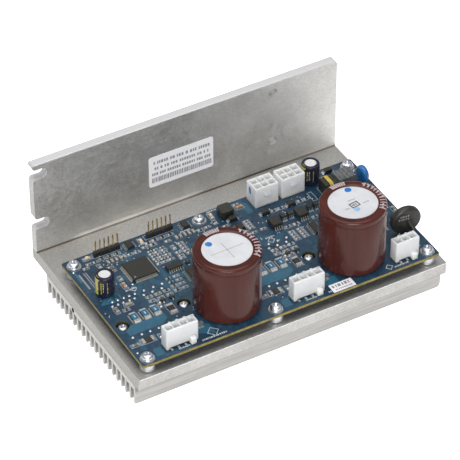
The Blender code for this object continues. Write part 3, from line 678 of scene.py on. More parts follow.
def add_silkscreen():
    """Printed outlines, rows of marks and diamonds, and three grey strips."""
    ink = Shape("silkscreen", "silkscreen", smooth=False)
    strips = Shape("printed_strips", "print_grey", smooth=False)
    for x, width in ((4.0, 0.9), (6.6, 0.5), (7.8, 0.5)):
        strips.box(x, 70.5, SUNK, PRINT_TOP, width, 12.5)
    strips.make()
    for x in (24.8, 54.8):
        frame_outline(ink, x, 85.9, 16.2, 3.4)
    for dx in channels():
        for x in (27.4, 32.4, 37.4):
            for y in (44.3, 41.0):
                frame_outline(ink, x + dx, y, 3.6, 1.9)
        dashes(ink, 42.0 + dx, 2.3, 14.0, 1.1, 0, 3)
        dashes(ink, 25.0 + dx, 2.6, 6.0, 0.9, 0, 4)
    frame_outline(ink, 140.2, 72.0, 2.6, 7.2)
    frame_outline(ink, 158.5, 70.5, 25.5, 12.5)
    for x, y, size in ((42.9, 5.7, 4.4), (145.5, 3.6, 2.8), (23.4, 53.5, 2.4), (103.5, 51.9, 2.8)):
        frame_outline(ink, x, y, size, size, 0.3, 45)
    for x, y, length in ((152.0, 2.3, 8.0), (104.0, 54.5, 5.0), (160.0, 50.0, 7.0), (160.0, 38.0, 6.0),
                         (88, 88, 6), (157.0, 62.0, 8.0), (68.0, 80.8, 5.0), (22.0, 54.0, 6)):
        dashes(ink, x, y, length, 0.9, 0, int(x))
    for x, y, length in ((20.0, 86.4, 4.0), (140.5, 60, 6), (168.0, 12.0, 4.0), (146.0, 52.0, 5.0)):
        dashes(ink, x, y, length, 0.9, 90, int(x))
    ink.make()


# ================================================================ solder and vias

def add_solder():
    """Through-hole joints: a tinned ring with a bright cone, in rows beside each module."""
    joints = Shape("solder_joints", "tin")
    for dx in channels():
        rows = (
            (50.0, (9.2, 12.4, 15.8, 19.0, 22.2, 27.4, 32.8, 38.0)),
            (47.0, (7.7, 10.9, 14.0, 17.5, 20.5, 25.8, 30.8, 36.2)),
            (21.3, (5.8, 10.9, 15.7, 20.6, 25.5, 30.4, 35.2, 40.1)),
        )
        for y, columns in rows:
            for x in columns:
                solder_cone(joints, x + dx, y, 0.75, 0.6)
    for x, y in ((24.6, 57.0), (2.4, 79.8), (2.4, 10.2)):
        solder_cone(joints, x, y, 0.6, 0.25)
    joints.make()


def add_vias():
    """Plated holes, scattered over the open fields of the board."""
    vias = Shape("vias", "tin")
    draw = random.Random(11)
    fields = ((18, 42, 74, 82, 22), (43, 60, 60, 78, 26), (5, 22, 50, 62, 14), (62, 92, 62, 80, 26),
              (96, 140, 50, 58, 24), (104, 140, 66, 76, 22), (140, 172, 30, 62, 34), (6, 40, 4, 20, 14),
              (80, 112, 8, 20, 10), (100, 112, 28, 48, 12), (28, 46, 24, 30, 8), (2, 8, 40, 60, 8))
    for x0, x1, y0, y1, count in fields:
        for _ in range(count):
            x, y = draw.uniform(x0, x1), draw.uniform(y0, y1)
            vias.lathe(x, y, [(0.32, SUNK), (0.32, 0.03), (0.26, 0.06), (0.1, 0.045)], 10)
    vias.make()


def solder_cone(shape, x, y, radius, height):
    profile = [(radius, SUNK), (radius, 0.06), (radius * 0.8, 0.12), (radius * 0.55, height * 0.55)]
    profile += [(radius * 0.4, height * 0.85), (radius * 0.2, height), (radius * 0.02, height)]
    shape.lathe(x, y, profile, 14)


# ================================================================ small parts

PASSIVE_SIZES = {  # length, width and height
    "0603": (1.6, 0.8, 0.45),
    "0805": (2.0, 1.25, 0.6),
    "1206": (3.2, 1.6, 0.65),
    "2512": (6.4, 3.4, 0.7),
}


class Passives:
    """Two-terminal chips: bodies gathered by colour, with shared terminals, pads and outlines."""

    def __init__(self):
        self.bodies = {}
        self.metal = Shape("chip_terminals", "tin", soften=0.05)
        self.ink = Shape("chip_outlines", "silkscreen", smooth=False)

    def add(self, size, tone, x, y, turn=0.0, height=None, outline=True):
        length, width, tall = PASSIVE_SIZES[size]
        tall = height or tall
        if tone not in self.bodies:
            self.bodies[tone] = Shape("chips_" + tone, tone, soften=0.05)
        end = length * 0.2
        self.bodies[tone].box(x, y, 0.05, tall, length - 2 * end, width, turn)
        for side in (-1, 1):
            offset = side * (length - end) / 2
            ((cx, cy),) = turned([(offset, 0)], x, y, turn)
            self.metal.box(cx, cy, 0.03, tall + 0.04, end, width + 0.06, turn)
            self.fillet(x, y, turn, side, length / 2, width, tall)
        if outline:
            frame_outline(self.ink, x, y, length + 1.9, width + 0.9, 0.15, turn)

    def fillet(self, x, y, turn, side, reach, width, tall):
        """Solder wedge from the pad up the end of the chip."""
        foot = reach + 0.55
        half = width / 2 + 0.12
        base = turned([(side * (reach - 0.2), -half), (side * foot, -half), (side * foot, half),
                       (side * (reach - 0.2), half)], x, y, turn)
        inner = half - 0.1
        crest = turned([(side * (reach - 0.2), -inner), (side * (reach + 0.12), -inner),
                        (side * (reach + 0.12), inner), (side * (reach - 0.2), inner)], x, y, turn)
        top = tall * 0.8
        self.metal.loft([[(px, py, SUNK) for px, py in base], [(px, py, 0.06) for px, py in base],
                         [(px, py, top) for px, py in crest]])

    def make(self):
        for shape in self.bodies.values():
            shape.make()
        self.metal.make()
        self.ink.make()


def add_passives():
    """Chip resistors and capacitors: scattered ones, rows and columns, and those of each channel."""
    p = Passives()
    black, grey, tan = "resistor_black", "resistor_grey", "ceramic_tan"
    beige, orange = "ceramic_beige", "tantalum_orange"
    scattered = (
        ("0805", black, 0, (
            (20.2, 82.2), (24.7, 82.2), (28.8, 82.0), (46.8, 81.5), (51.0, 82.0), (55.5, 82.0), (60.0, 82.0),
            (48.5, 79.2), (75.5, 77.2), (116.5, 72.0), (120.7, 72.0), (132.7, 72.0), (136.5, 72.0),
            (116.5, 57.0), (121.5, 57.0), (133.0, 57.0), (12.7, 41.3), (86.2, 41.3))),
        ("0603", black, 0, ((34.5, 78.2), (38.5, 78.0), (62.0, 64.3), (16.0, 81.7))),
        ("0805", black, 90, ((85.0, 79.2), (21.0, 64.0), (152.5, 81.5))),
        ("0805", grey, 90, ((16.2, 77.5), (56.5, 72.0), (165.0, 57.0))),
        ("0603", grey, 0, (
            (57.0, 67.5), (57.0, 64.5), (56.8, 62.5), (56.5, 78.0), (79.8, 77.5), (43.7, 79.5))),
        ("0805", tan, 0, ((101.5, 85.9), (156.0, 79.2))),
        ("0603", tan, 0, (
            (12.5, 81.7), (9.5, 79.5), (20.8, 74.0), (21.0, 71.0), (88.5, 73.5), (171.3, 79.6),
            (104.5, 62.0), (99.0, 61.8), (95.0, 64.5))),
        ("0805", grey, 0, ((107.0, 37.0),)),
        ("1206", grey, 90, ((172.0, 42.0),)),
    )
    for size, tone, turn, places in scattered:
        for x, y in places:
            p.add(size, tone, x, y, turn)
    for row in range(6):
        for x in (44.3, 47.7, 51.3):
            p.add("0603", (grey, tan, grey)[row % 3], x, 64.5 + 2.1 * row, outline=row % 2 == 0)
    for index in range(5):
        p.add("0805", beige, 21.5 + 2.4 * index, 78.0, 90, height=1.0, outline=False)
        p.add("0805", beige, 61.5 + 2.5 * index, 78.0, 90, height=1.0, outline=False)
    for index, y in enumerate((51.8, 48.6, 45.4, 42.0)):
        p.add("0805", black, 42.5, y, outline=index > 1)
        p.add("0603", grey, 47.0, y)
    for row in range(4):
        p.add("0603", (tan, grey)[row % 2], 61.3, 66.5 + 2.3 * row)
        p.add("0603", (grey, tan)[row % 2], 99.5, 65.5 + 2.0 * row)
        p.add("0603", grey, 116.0, 46.0 + 2.2 * row)
        p.add("0603", grey, 121.0, 46.0 + 2.2 * row)
    in_channel = (
        ("2512", black, 33.0, 31.0, 90), ("2512", black, 11.5, 16.0, 0), ("0603", tan, 38.7, 11.7, 0),
        ("0603", grey, 40.0, 14.5, 0), ("1206", grey, 4.2, 15.5, 0), ("0603", grey, 29.0, 35.6, 90),
        ("0603", grey, 30.0, 38.6, 90), ("0603", grey, 18.2, 15.8, 90),
    )
    for dx in channels():
        for tone, x in ((tan, 27.4), (tan, 32.4), (black, 37.4)):
            p.add("0805", tone, x + dx, 44.3, outline=False)
            p.add("0603", tan, x + dx, 41.0, outline=False)
        for size, tone, x, y, turn in in_channel:
            p.add(size, tone, x + dx, y, turn)
        p.add("1206", beige, 15.5 + dx, 44.2, height=1.1)
    p.add("1206", tan, 8.0, 43.0, 90, height=1.2)
    p.add("1206", orange, 20.3, 57.8, 90, height=1.3)
    p.add("1206", orange, 102.0, 83.0, height=1.3)
    for x, y in ((150, 45), (156, 40), (162, 46), (168, 52), (152, 33), (146, 40.5), (160, 31)):
        p.add("0805", (grey, black, tan)[int(x) % 3], x, y, 90 * (int(y) % 2))
    add_leds(p)
    p.make()


def add_leds(p):
    """Three small indicator lamps along the back edge."""
    lens = Shape("led_lenses", "led_lens", soften=0.15)
    for x, y, turn in ((13.5, 86.0, 0), (44.0, 84.5, 90), (85.5, 84.5, 90)):
        p.add("1206", "ceramic_beige", x, y, turn, height=0.5, outline=True)
        lens.box(x, y, 0.4, 1.3, 1.9, 1.5, turn)
    lens.make()


def gull_lead(shape, x, y, turn, reach, height, width, thick=0.15):
    """Gull-wing lead that leaves the body at x, y, runs outwards and lands on the board."""
    landing = 0.02
    side = [(-0.1, height + thick), (-0.1, height), (reach * 0.22, height), (reach * 0.45, landing),
            (reach, landing), (reach, thick + landing), (reach * 0.58, thick + landing),
            (reach * 0.35, height + thick)]
    rings = []
    for offset in (-width / 2, width / 2):
        outline = turned([(u, offset) for u, _ in side], x, y, turn)
        rings.append([(px, py, z) for (px, py), (_, z) in zip(outline, side)])
    shape.loft(rings)
    ((px, py),) = turned([(reach * 0.8, 0)], x, y, turn)
    shape.box(px, py, SUNK, 0.05, reach * 0.75, width + 0.12, turn)


def lead_row(shape, centre, turn, half_body, count, pitch, reach, height, width):
    """Evenly spaced leads along the side of a body that faces turn."""
    for index in range(count):
        across = (index - (count - 1) / 2) * pitch
        ((px, py),) = turned([(half_body, across)], centre[0], centre[1], turn)
        gull_lead(shape, px, py, turn, reach, height, width)


SMALL_LEAD = {"pitch": 1.27, "reach": 1.15, "height": 0.85, "width": 0.42}  # small outline packages
FINE_LEAD = {"pitch": 0.5, "reach": 1.15, "height": 0.9, "width": 0.24}
OPTO_LEAD = {"pitch": 1.27, "reach": 1.3, "height": 1.3, "width": 0.5}


def add_chips():
    """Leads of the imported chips, and the smaller chips, transistors and diodes between them."""
    leads = Shape("chip_leads", "lead_frame", smooth=False)
    bright = Shape("small_chip_leads", "tin", smooth=False)
    bodies = Shape("small_chip_bodies", "chip_resin", soften=0.06)
    packed = [("controller_chip", (0, 90, 180, 270), 7.0, 25, FINE_LEAD),
              ("driver_chip_3", (90, 270), 1.95, 7, SMALL_LEAD)]
    for number in (1, 2):
        packed.append((f"driver_chip_{number}", (0, 180), 1.95, 4, SMALL_LEAD))
        packed.append((f"optocoupler_{number}", (90, 270), 3.4, 4, OPTO_LEAD))
    for node, turns, half_body, count, lead in packed:
        for turn in turns:
            lead_row(leads, middle(node), turn, half_body, count, **lead)
    drivers = [(54.5 + dx, 48.5, 3.9, 8.7, 7) for dx in channels()] + [(94.3, 68.6, 3.9, 4.9, 4)]
    for x, y, width, depth, count in drivers:
        chip_body(bodies, x, y, width, depth, 0.4, 1.8)
        for side in (0, 180):
            lead_row(leads, (x, y), side, width / 2, count, **SMALL_LEAD)
    for x in (117.7, 121.8, 133.6, 137.5):
        chip_body(bodies, x, 64.6, 2.7, 3.2, 0.7, 2.3)
        lead_row(bright, (x, 64.6), 270, 1.6, 3, 0.95, 1.5, 1.2, 0.4)
        lead_row(bright, (x, 64.6), 90, 1.6, 1, 0.95, 0.8, 1.2, 1.4)
    for x, y in ((31.9, 38.2), (37.2, 38.2), (105.4, 38.2), (110.7, 38.2), (57.0, 57.6), (163.5, 50.0)):
        chip_body(bodies, x, y, 2.6, 1.8, 0.1, 1.15)
        for dx, dy, turn in ((0.0, -0.9, 270), (-0.95, 0.9, 90), (0.95, 0.9, 90)):
            gull_lead(bright, x + dx, y + dy, turn, 0.9, 0.5, 0.6)
    for x, y in ((94.0, 76.0), (111.5, 72.2), (126.8, 71.6), (157.8, 85.6)):
        diode(bodies, bright, x, y)
    bodies.make()
    leads.make()
    bright.make()
    marks = Shape("chip_marks", "print_grey", smooth=False)
    low, high = board_box("controller_chip")
    marks.lathe(low.x + 1.6, low.y + 1.6, [(0.5, high.z - 0.02), (0.5, high.z + 0.012)], 20)
    marks.make()


def chip_body(shape, x, y, width, depth, low, high):
    """Moulded body with a waist where the leads leave it."""
    draft = 0.14
    waist = low + (high - low) * 0.45
    rings = []
    for z, inset in ((low, draft), (waist, 0.0), (high, draft)):
        outline = turned(rectangle(width - 2 * inset, depth - 2 * inset), x, y, 0)
        rings.append([(px, py, z) for px, py in outline])
    shape.loft(rings)


def diode(bodies, leads, x, y):
    """Moulded diode with broad plated ends."""
    chip_body(bodies, x, y, 4.4, 3.0, 0.1, 2.2)
    for side in (0, 180):
        ((px, py),) = turned([(2.2, 0)], x, y, side)
        gull_lead(leads, px, py, side, 1.0, 0.9, 2.4, 0.3)


def add_shunt_ends():
    """Plated ends, solder, side strips and a small centre mark for each current shunt."""
    ends = Shape("shunt_ends", "tin", soften=0.08)
    strips = Shape("shunt_strips", "ceramic_beige", smooth=False)
    marks = Shape("shunt_marks", "silkscreen", smooth=False)
    for number in range(1, 7):
        low, high = board_box(f"current_shunt_{number}")
        x, y = (low.x + high.x) / 2, (low.y + high.y) / 2
        width = high.x - low.x
        for end, depth in ((low.y + 0.45, 1.3), (high.y - 0.4, 1.0)):
            ends.box(x, end, low.z - 0.2, high.z + 0.08, width + 0.2, depth)
        half = width / 2 + 0.15
        foot = low.y - 0.9
        ends.loft([[(x - half, foot, z), (x + half, foot, z), (x + half, low.y + 0.2, z),
                    (x - half, low.y + 0.2, z)] for z in (SUNK, 0.08)]
                  + [[(x - half + 0.2, low.y - 0.4, 0.6), (x + half - 0.2, low.y - 0.4, 0.6),
                      (x + half - 0.2, low.y + 0.1, 0.8), (x - half + 0.2, low.y + 0.1, 0.8)]])
        for side in (-1, 1):
            strips.box(x + side * 2.25, y - 0.2, SUNK, PRINT_TOP, 0.5, 6.6)
        marks.box(x + 0.1, y + 0.2, high.z - 0.05, high.z + 0.015, 0.7, 2.0)
        marks.box(x - 0.15, y + 0.9, high.z - 0.05, high.z + 0.015, 0.7, 0.5)
    ends.make()
    strips.make()
    marks.make()


# ================================================================ connectors, pins and wires

CONTACT_PITCH = 4.2
CONTACT_WIDTH = 1.07


def add_pins():
    """Header pins, and the contacts and solder tails of the white connectors."""
    pins = Shape("header_pins", "gold")
    for number in (1, 2):
        low, high = board_box(f"pin_header_{number}")
        pitch = (high.x - low.x) / 6
        for index in range(6):
            square_pin(pins, low.x + (index + 0.5) * pitch, (low.y + high.y) / 2, high.z - 0.4, 10.4, 0.64)
    pins.make()
    contacts = Shape("connector_contacts", "tin")
    for number, cells in ((1, 4), (2, 4), (3, 3)):
        low, high = board_box(f"output_connector_{number}")
        for index in range(cells):
            x = (low.x + high.x) / 2 + (index - (cells - 1) / 2) * CONTACT_PITCH
            square_pin(contacts, x, 6.95, 2.0, 8.6, CONTACT_WIDTH)
            x = low.x + 2.6 + index * (high.x - low.x - 4.0) / (cells - 0.5)
            contacts.box(x, low.y + 1.9, 0.0, 0.75, 1.1, 1.6)
    for number in (1, 2):
        low, high = board_box(f"rear_connector_{number}")
        for column in (-1, 0, 1):
            for row in (-1, 1):
                x = (low.x + high.x) / 2 + column * CONTACT_PITCH
                square_pin(contacts, x, high.y - 4.8 + row * CONTACT_PITCH / 2, 2.0, 8.6, CONTACT_WIDTH)
    contacts.make()


def square_pin(shape, x, y, low, high, width):
    """Square pin with a tapered tip."""
    rings = []
    for z, size in ((low, width), (high - width * 0.7, width), (high, width * 0.45)):
        rings.append([(px, py, z) for px, py in turned(rectangle(size, size), x, y, 0)])
    shape.loft(rings)


def add_wires():
    """Leads of the two dipped discs."""
    wires = Shape("disc_leads", "tin")
    centre = middle("inrush_thermistor")
    foot = board_box("inrush_thermistor")[0].z
    for side in (-1, 1):
        x = centre.x + side * 3.7
        y = centre.y - 0.9
        bent = y + side * 0.4
        wires.tube([(x, y + 0.2, foot + 2.2), (x, y, foot + 0.6), (x, bent, 0.6), (x, bent, -0.1)], 0.4)
        solder_cone(wires, x, bent, 1.1, 0.5)
    add_thermistor_face()
    centre = middle("disc_capacitor")
    foot = board_box("disc_capacitor")[0].z
    for side in (-1, 1):
        y = centre.y + side * 2.5
        wires.tube([(centre.x, y, foot + 0.8), (centre.x, y, 0.5), (centre.x, y, -0.1)], 0.3)
    wires.make()


def add_thermistor_face():
    """Coated lead that shows as a ridge on the front of the black disc, and two rows of light marks."""
    centre = middle("inrush_thermistor")

    def on_face(dx, dz, lift):
        """Place on the turned and leaning front face."""
        return centre.x + dx, centre.y - 2.2 - 0.137 * dx - 0.077 * dz - lift, centre.z + dz

    ridge = Shape("thermistor_ridge", "thermistor_coat")
    crest = ((0.3, 0.6, -0.6), (0.8, -0.6, -0.1), (2.2, -4.0, 0.3), (3.1, -6.6, 0.3))
    ridge.tube([on_face(*point) for point in crest], 1.05)
    ridge.make()
    wire = Shape("thermistor_lead", "tin")
    x, y, z = on_face(3.0, -6.2, 0.1)
    wire.tube([(x, y, z), (x + 0.5, y, z - 1.6), (x + 0.6, y, -0.1)], 0.5)
    solder_cone(wire, x + 0.6, y, 1.2, 0.6)
    wire.make()
    marks = Shape("thermistor_marks", "print_grey", smooth=False)
    draw = random.Random(12)
    height = 1.1
    for start, end, dz in ((-4.2, 0.2, 3.6), (-5.0, 0.8, 1.7)):
        dx = start
        while dx < end:
            width = draw.uniform(0.45, 0.9)
            corners = ((dx, dz), (dx + width, dz), (dx + width, dz + height), (dx, dz + height))
            marks.loft([[on_face(u, v, lift) for u, v in corners] for lift in (-0.6, 0.16)])
            dx += width + draw.uniform(0.3, 0.55)
    marks.make()


def add_screw_pads():
    """Tinned rings on the board under the six screws."""
    pads = Shape("screw_pads", "lead_frame")
    section = ((1.75, -0.03), (3.85, -0.03), (3.85, 0.05), (1.75, 0.05))
    for number in range(1, 7):
        centre = middle(f"board_screw_{number}")
        pads.ring(centre.x, centre.y, section, 40)
    pads.make()


# ================================================================ capacitors

def sleeve_curve(radius, height):
    """Outer profile of a big capacitor's sleeve, foot to lip, as (radius, height) above its foot."""
    curve = []
    foot = 1.1
    for step in range(9):
        angle = math.radians(-90 + 90 * step / 8)
        curve.append((radius - foot + foot * math.cos(angle), foot + foot * math.sin(angle)))
    curve += [(radius, height * 0.3), (radius - 0.05, height * 0.6), (radius - 0.05, height - 4.6)]
    curve += [(radius - 0.22, height - 4.2), (radius - 0.42, height - 3.8), (radius - 0.42, height - 3.5)]
    curve += [(radius - 0.15, height - 3.1), (radius, height - 2.6)]
    rim = 1.5
    for step in range(1, 11):
        angle = math.radians(90 * step / 10)
        curve.append((radius - rim + rim * math.cos(angle), height - rim + rim * math.sin(angle)))
    curve += [(radius - 3.4, height + 0.02), (radius - 4.2, height - 0.08), (radius - 4.55, height - 0.35)]
    return curve


def add_bus_sleeve(number):
    """Smooth shrink sleeve with its rim and groove, in place of the plain packed one."""
    node = f"bus_capacitor_sleeve_{number}"
    low, high = board_box(node)
    centre = middle(node)
    wall = 0.35
    outer = [(r, low.z + z) for r, z in sleeve_curve((high.x - low.x) / 2, high.z - low.z)]
    lip_radius, lip_height = outer[-1]
    foot_radius, foot_height = outer[0]
    inner = [(r - wall, z) for r, z in reversed(outer[4:-8])]
    section = outer + [(lip_radius, lip_height - 0.25)] + inner + [(foot_radius, foot_height + wall)]
    sleeve = Shape(f"bus_sleeve_{number}", "maroon_sleeve")
    sleeve.ring(centre.x, centre.y, section, 96)
    sleeve.take_over(node)
    return centre, outer


def along(curve, distance):
    """Point and outward normal at a distance along a profile, measured from its end inwards."""
    points = list(reversed(curve))
    for a, b in zip(points, points[1:]):
        run = math.dist(a, b)
        if distance <= run:
            t = distance / run
            point = (a[0] + (b[0] - a[0]) * t, a[1] + (b[1] - a[1]) * t)
            normal = ((a[1] - b[1]) / run, (b[0] - a[0]) / run)
            return point, normal
        distance -= run
    return points[-1], (1.0, 0.0)


def printed_patch(shape, centre, curve, start, end, near, far, thick=0.03):
    """Thin print on a sleeve between two angles and two distances from the lip."""
    columns = max(2, int(abs(end - start) / 2.5) + 1)
    rows = max(2, int((far - near) / 0.5) + 1)
    sheets = []
    for lift in (-0.06, thick):
        sheet = []
        for i in range(columns):
            angle = math.radians(start + (end - start) * i / (columns - 1))
            line = []
            for j in range(rows):
                (r, z), (nr, nz) = along(curve, near + (far - near) * j / (rows - 1))
                r += nr * lift
                z += nz * lift
                point = (centre[0] + r * math.cos(angle), centre[1] + r * math.sin(angle), z)
                line.append(shape.bm.verts.new(point))
            sheet.append(line)
        sheets.append(sheet)
    inner, outer = sheets
    for i in range(columns - 1):
        for j in range(rows - 1):
            for sheet in (inner, outer):
                shape.bm.faces.new((sheet[i][j], sheet[i + 1][j], sheet[i + 1][j + 1], sheet[i][j + 1]))
    for i in range(columns - 1):
        for j in (0, rows - 1):
            shape.bm.faces.new((inner[i][j], inner[i + 1][j], outer[i + 1][j], outer[i][j]))
    for j in range(rows - 1):
        for i in (0, columns - 1):
            shape.bm.faces.new((inner[i][j], inner[i][j + 1], outer[i][j + 1], outer[i][j]))


def print_bus_sleeve(number, centre, curve):
    """Generic marks: a broken band that curls over the rim on one side and a block on the other."""
    ink = Shape(f"sleeve_print_{number}", "print_mauve")

    def patch(start, width, near, far):
        printed_patch(ink, centre, curve, start, start + width, near, far)

    draw = random.Random(5 + number)
    angle = -49.0
    while angle < 36.0:
        width = draw.uniform(5.0, 7.5)
        near = draw.uniform(0.9, 1.3)
        patch(angle, width * 0.5, near, near + draw.uniform(3.0, 3.8))
        if draw.random() < 0.8:
            arm = near + draw.uniform(0.6, 1.8)
            patch(angle + width * 0.5, width * 0.5, arm, arm + 1.0)
        patch(angle, width, 7.0, 7.9)
        angle += width + 2.6
    for index in range(7):
        patch((77.0 if number == 1 else 75.0) + index * 4.6, 3.6, 0.9, 4.4)
    for index in range(5):
        patch(-50.0 + index * 3.2, 1.1, 9.5, 33.0)
    ink.make()


def mark_disc(number):
    """Grey lines of painted shade for the scored cross, or a plain stamp, and ink spots, on the white end
    disc.
    """
    node = f"bus_capacitor_disc_{number}"
    x, y, _ = middle(node)
    face = board_box(node)[1].z
    top = face + 0.012
    base = face - 0.05
    if number == 1:
        # The grooves of the scored cross are drawn as grey lines: painted shade
        score_shade = Shape("disc_score_shade", "print_grey", smooth=False)
        score_shade.box(x, y, base, top, 18.5, 0.28, 1.0)
        score_shade.box(x, y - 0.5, base, top, 0.28, 13.5, 2.0)
        score_shade.make()
        ink_spot("ink_spot_1", "ink_blue", x - 6.1, y + 8.0, 1.8, base, top)
        return
    ink_spot("ink_spot_2", "ink_blue", x + 3.1, y + 10.1, 1.85, base, top)
    ink_spot("ink_spot_3", "ink_light_blue", x - 0.8, y - 5.3, 1.7, base, top)
    stamp = Shape("disc_stamp", "print_black", smooth=False)
    frame_outline(stamp, x, y - 1.6, 4.6, 3.2, 0.6, 8, top)
    dashes(stamp, x, y - 1.6, 3.0, 1.3, 8, 31, top)
    stamp.make()
    fine = Shape("disc_fine_print", "print_grey", smooth=False)
    dashes(fine, x + 6.0, y - 2.5, 3.4, 0.8, 0, 32, top)
    dashes(fine, x - 4.8, y - 2.8, 2.6, 0.8, 0, 33, top)
    dashes(fine, x + 0.4, y + 2.4, 4.0, 0.7, 0, 34, top)
    fine.make()


def ink_spot(name, material, x, y, radius, low, high):
    """Hand-dabbed spot with a slightly uneven edge."""
    spot = Shape(name, material)
    draw = random.Random(name)
    wobble = [draw.uniform(-0.06, 0.06) for _ in range(3)]
    outline = []
    for px, py in circle(1.0, 40):
        angle = math.atan2(py, px)
        size = radius * (1 + sum(w * math.sin((k + 2) * angle) for k, w in enumerate(wobble)))
        outline.append((x + size * px, y + size * py))
    spot.prism(outline, low, high)
    spot.make()


def add_capacitors():
    for number in (1, 2):
        print_bus_sleeve(number, *add_bus_sleeve(number))
        mark_disc(number)
    stripe = Shape("small_sleeve_print", "print_yellow")
    for number in (1, 2):
        print_small_sleeve(stripe, number)
    stripe.make()


def print_small_sleeve(stripe, number):
    """Yellow stripe and three columns of marks on a small capacitor."""
    node = f"small_capacitor_sleeve_{number}"
    low, high = board_box(node)
    curve = [(5.0, low.z + 0.9), (5.0, high.z - 0.9), (4.75, high.z - 0.3), (4.1, high.z), (3.6, high.z)]

    def patch(start, end, near, far):
        printed_patch(stripe, middle(node), curve, start, end, near, far, 0.04)

    patch(164, 199, 0.5, 12.0)
    patch(200, 208, 1.6, 2.6)
    draw = random.Random(60 + number)
    for start in (218, 231, 256):
        at = 3.2 + draw.uniform(0.0, 0.8)
        while at < 9.6:
            length = draw.uniform(0.7, 1.6)
            patch(start, start + draw.uniform(3, 6), at, at + length)
            at += length + draw.uniform(0.3, 0.6)


# ================================================================ labels

def add_rating_label():
    """Label on the flange: a sheet with round corners, and rows of bars for print."""
    low, high = board_box("flange_label")
    face = (FLANGE_FACE - BOARD_ORIGIN.y) / MM
    radius = 1.5
    outline = []
    for x, z, start in ((high.x - radius, low.z + radius, 270), (high.x - radius, high.z - radius, 0),
                        (low.x + radius, high.z - radius, 90), (low.x + radius, low.z + radius, 180)):
        for step in range(6):
            angle = math.radians(start + 18 * step)
            outline.append((x + radius * math.cos(angle), z + radius * math.sin(angle)))
    sheet = Shape("rating_label", "label_stock")
    sheet.loft([[(x, y, z) for x, z in outline] for y in (face + 0.02, face - 0.12)])
    sheet.take_over("flange_label")
    rows = Shape("rating_label_print", "print_grey", smooth=False)
    draw = random.Random(8)
    for drop, height, inset, widths, gaps in ((4.4, 1.9, 2.8, (0.7, 1.4), (0.4, 0.4, 0.5, 1.3)),
                                              (8.2, 1.7, 3.4, (0.7, 1.3), (0.4, 0.4, 0.5, 1.3)),
                                              (11.8, 1.7, 1.8, (0.7, 1.3), (0.35, 0.35, 0.45, 1.1)),
                                              (15.8, 3.2, 1.8, (0.4, 0.9), (0.25, 0.3, 0.45))):
        x = low.x + inset
        while x < high.x - inset:
            width = draw.uniform(*widths)
            bar = turned(rectangle(width, height), x + width / 2, high.z - drop, 0)
            rows.loft([[(px, y, pz) for px, pz in bar] for y in (face, face - 0.14)])
            x += width + draw.choice(gaps)
    rows.make()


def add_serial_label():
    """Small label on the board with two rows of marks."""
    low, high = board_box("board_label")
    x, y, _ = middle("board_label")
    sheet = Shape("serial_label", "label_stock")
    sheet.box(x, y, -0.02, 0.12, high.x - low.x, high.y - low.y)
    sheet.take_over("board_label")
    marks = Shape("serial_label_print", "print_grey", smooth=False)
    dashes(marks, x, high.y - 2.0, 11.0, 2.0, 0, 40, 0.14, 0.3)
    dashes(marks, x, low.y + 1.5, 9.5, 1.0, 0, 41, 0.14)
    marks.make()


def add_ink_mark():
    """Blue pen mark on the left side of the first rear connector."""
    low, high = board_box("rear_connector_1")
    y = high.y - 3.6
    z = 8.6
    spot = Shape("pen_mark", "ink_blue")
    spot.loft([[(x, y + u + 0.3 * v, z + 2.4 * v) for u, v in circle(1.0, 24)]
               for x in (low.x + 0.02, low.x - 0.04)])
    spot.make()


# ================================================================ stage

FLOOR_SIZE = 6.0
HORIZON_GLOW = 0.25
CEILING_GLOW = 0.7
GLOW_START = 0.55  # height in the sky, from 0 to 1
CAMERA_AZIMUTH = 29.45
CAMERA_ELEVATION = 40.32
CAMERA_ROLL = -0.12
CAMERA_PLACE = (-0.48016, -0.93817, 0.98222)  # from the front left corner of the board
FOCAL_LENGTH = 227.9


def add_floor():
    """Pale sweep that the camera sees as evenly white, without a shadow."""
    mesh = bpy.data.meshes.new("floor")
    mesh.from_pydata([(x, y, 0) for x, y in rectangle(FLOOR_SIZE, FLOOR_SIZE)], [], [(0, 1, 2, 3)])
    f = Finish("studio_floor", 0.7)
    f.worn((0.60, 0.60, 0.595), (0.63, 0.63, 0.625), 3)
    f.set("Emission Color", (1.0, 1.0, 1.0))
    rays = f.add("ShaderNodeLightPath").outputs
    f.set("Emission Strength", f.plus(rays["Is Camera Ray"], f.times(rays["Is Glossy Ray"], 0.5)))
    mesh.materials.append(f.material)
    new_object("floor", mesh)


def add_light(name, place, target, size, energy):
    """Rectangular area light that looks at a target."""
    lamp = bpy.data.lights.new(name, "AREA")
    lamp.shape = "RECTANGLE"
    lamp.size, lamp.size_y = size
    lamp.energy = energy
    light = new_object(name, lamp)
    light.location = place
    light.rotation_euler = (Vector(target) - Vector(place)).to_track_quat("-Z", "Y").to_euler()


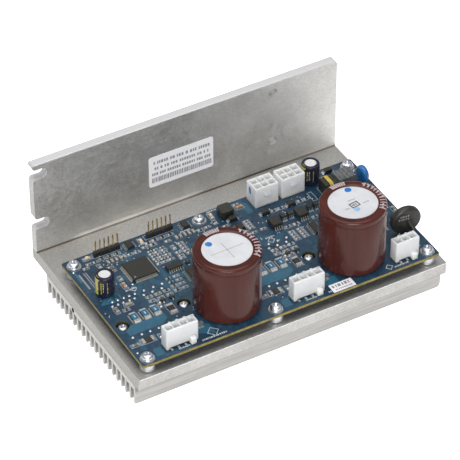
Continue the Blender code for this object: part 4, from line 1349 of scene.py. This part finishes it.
def add_world():
    """Dim studio that brightens towards the ceiling, and plain white where the camera sees it."""
    world = bpy.data.worlds.new("studio")
    bpy.context.scene.world = world
    world.use_nodes = True
    sky = Nodes(world.node_tree)
    background = sky.tree.nodes["Background"].inputs
    sky.feed(background["Color"], (1.0, 1.0, 1.0))
    height = sky.axes(sky.add("ShaderNodeTexCoord").outputs["Generated"])["Z"]
    glow = sky.span(height, GLOW_START, 1.0, HORIZON_GLOW, CEILING_GLOW)
    seen = sky.add("ShaderNodeLightPath").outputs["Is Camera Ray"]
    sky.feed(background["Strength"], sky.most(glow, seen))


def add_camera():
    """Long lens from the front left, above."""
    azimuth = math.radians(CAMERA_AZIMUTH)
    elevation = math.radians(CAMERA_ELEVATION)
    roll = math.radians(CAMERA_ROLL)
    level = math.cos(elevation)
    toward = Vector((math.sin(azimuth) * level, math.cos(azimuth) * level, -math.sin(elevation)))
    right = Vector((math.cos(azimuth), -math.sin(azimuth), 0))
    up = right.cross(toward)
    tilted = right * math.cos(roll) + up * math.sin(roll)
    upright = up * math.cos(roll) - right * math.sin(roll)
    lens = bpy.data.cameras.new("camera")
    lens.sensor_width = 36.0
    lens.lens = FOCAL_LENGTH
    lens.clip_end = 20
    camera = new_object("camera", lens)
    turn = Matrix((tilted, upright, -toward)).transposed().to_4x4()
    camera.matrix_world = Matrix.Translation(BOARD_ORIGIN + Vector(CAMERA_PLACE)) @ turn
    bpy.context.scene.camera = camera


def add_stage():
    add_floor()
    add_world()
    add_light("overhead", (0.0, 0.1, 1.4), target=(0, 0, 0), size=(1.3, 1.1), energy=9)
    add_light("front", (-0.75, -1.4, 0.9), target=(0, 0, 0.03), size=(1.0, 0.8), energy=20)
    add_camera()
    bpy.context.scene.view_settings.view_transform = "Standard"


# ================================================================ build

make_materials()
dress_parts()
add_pours()
add_tracks()
add_silkscreen()
add_solder()
add_vias()
add_passives()
add_chips()
add_shunt_ends()
add_pins()
add_wires()
add_screw_pads()
add_capacitors()
add_rating_label()
add_serial_label()
add_ink_mark()
add_stage()
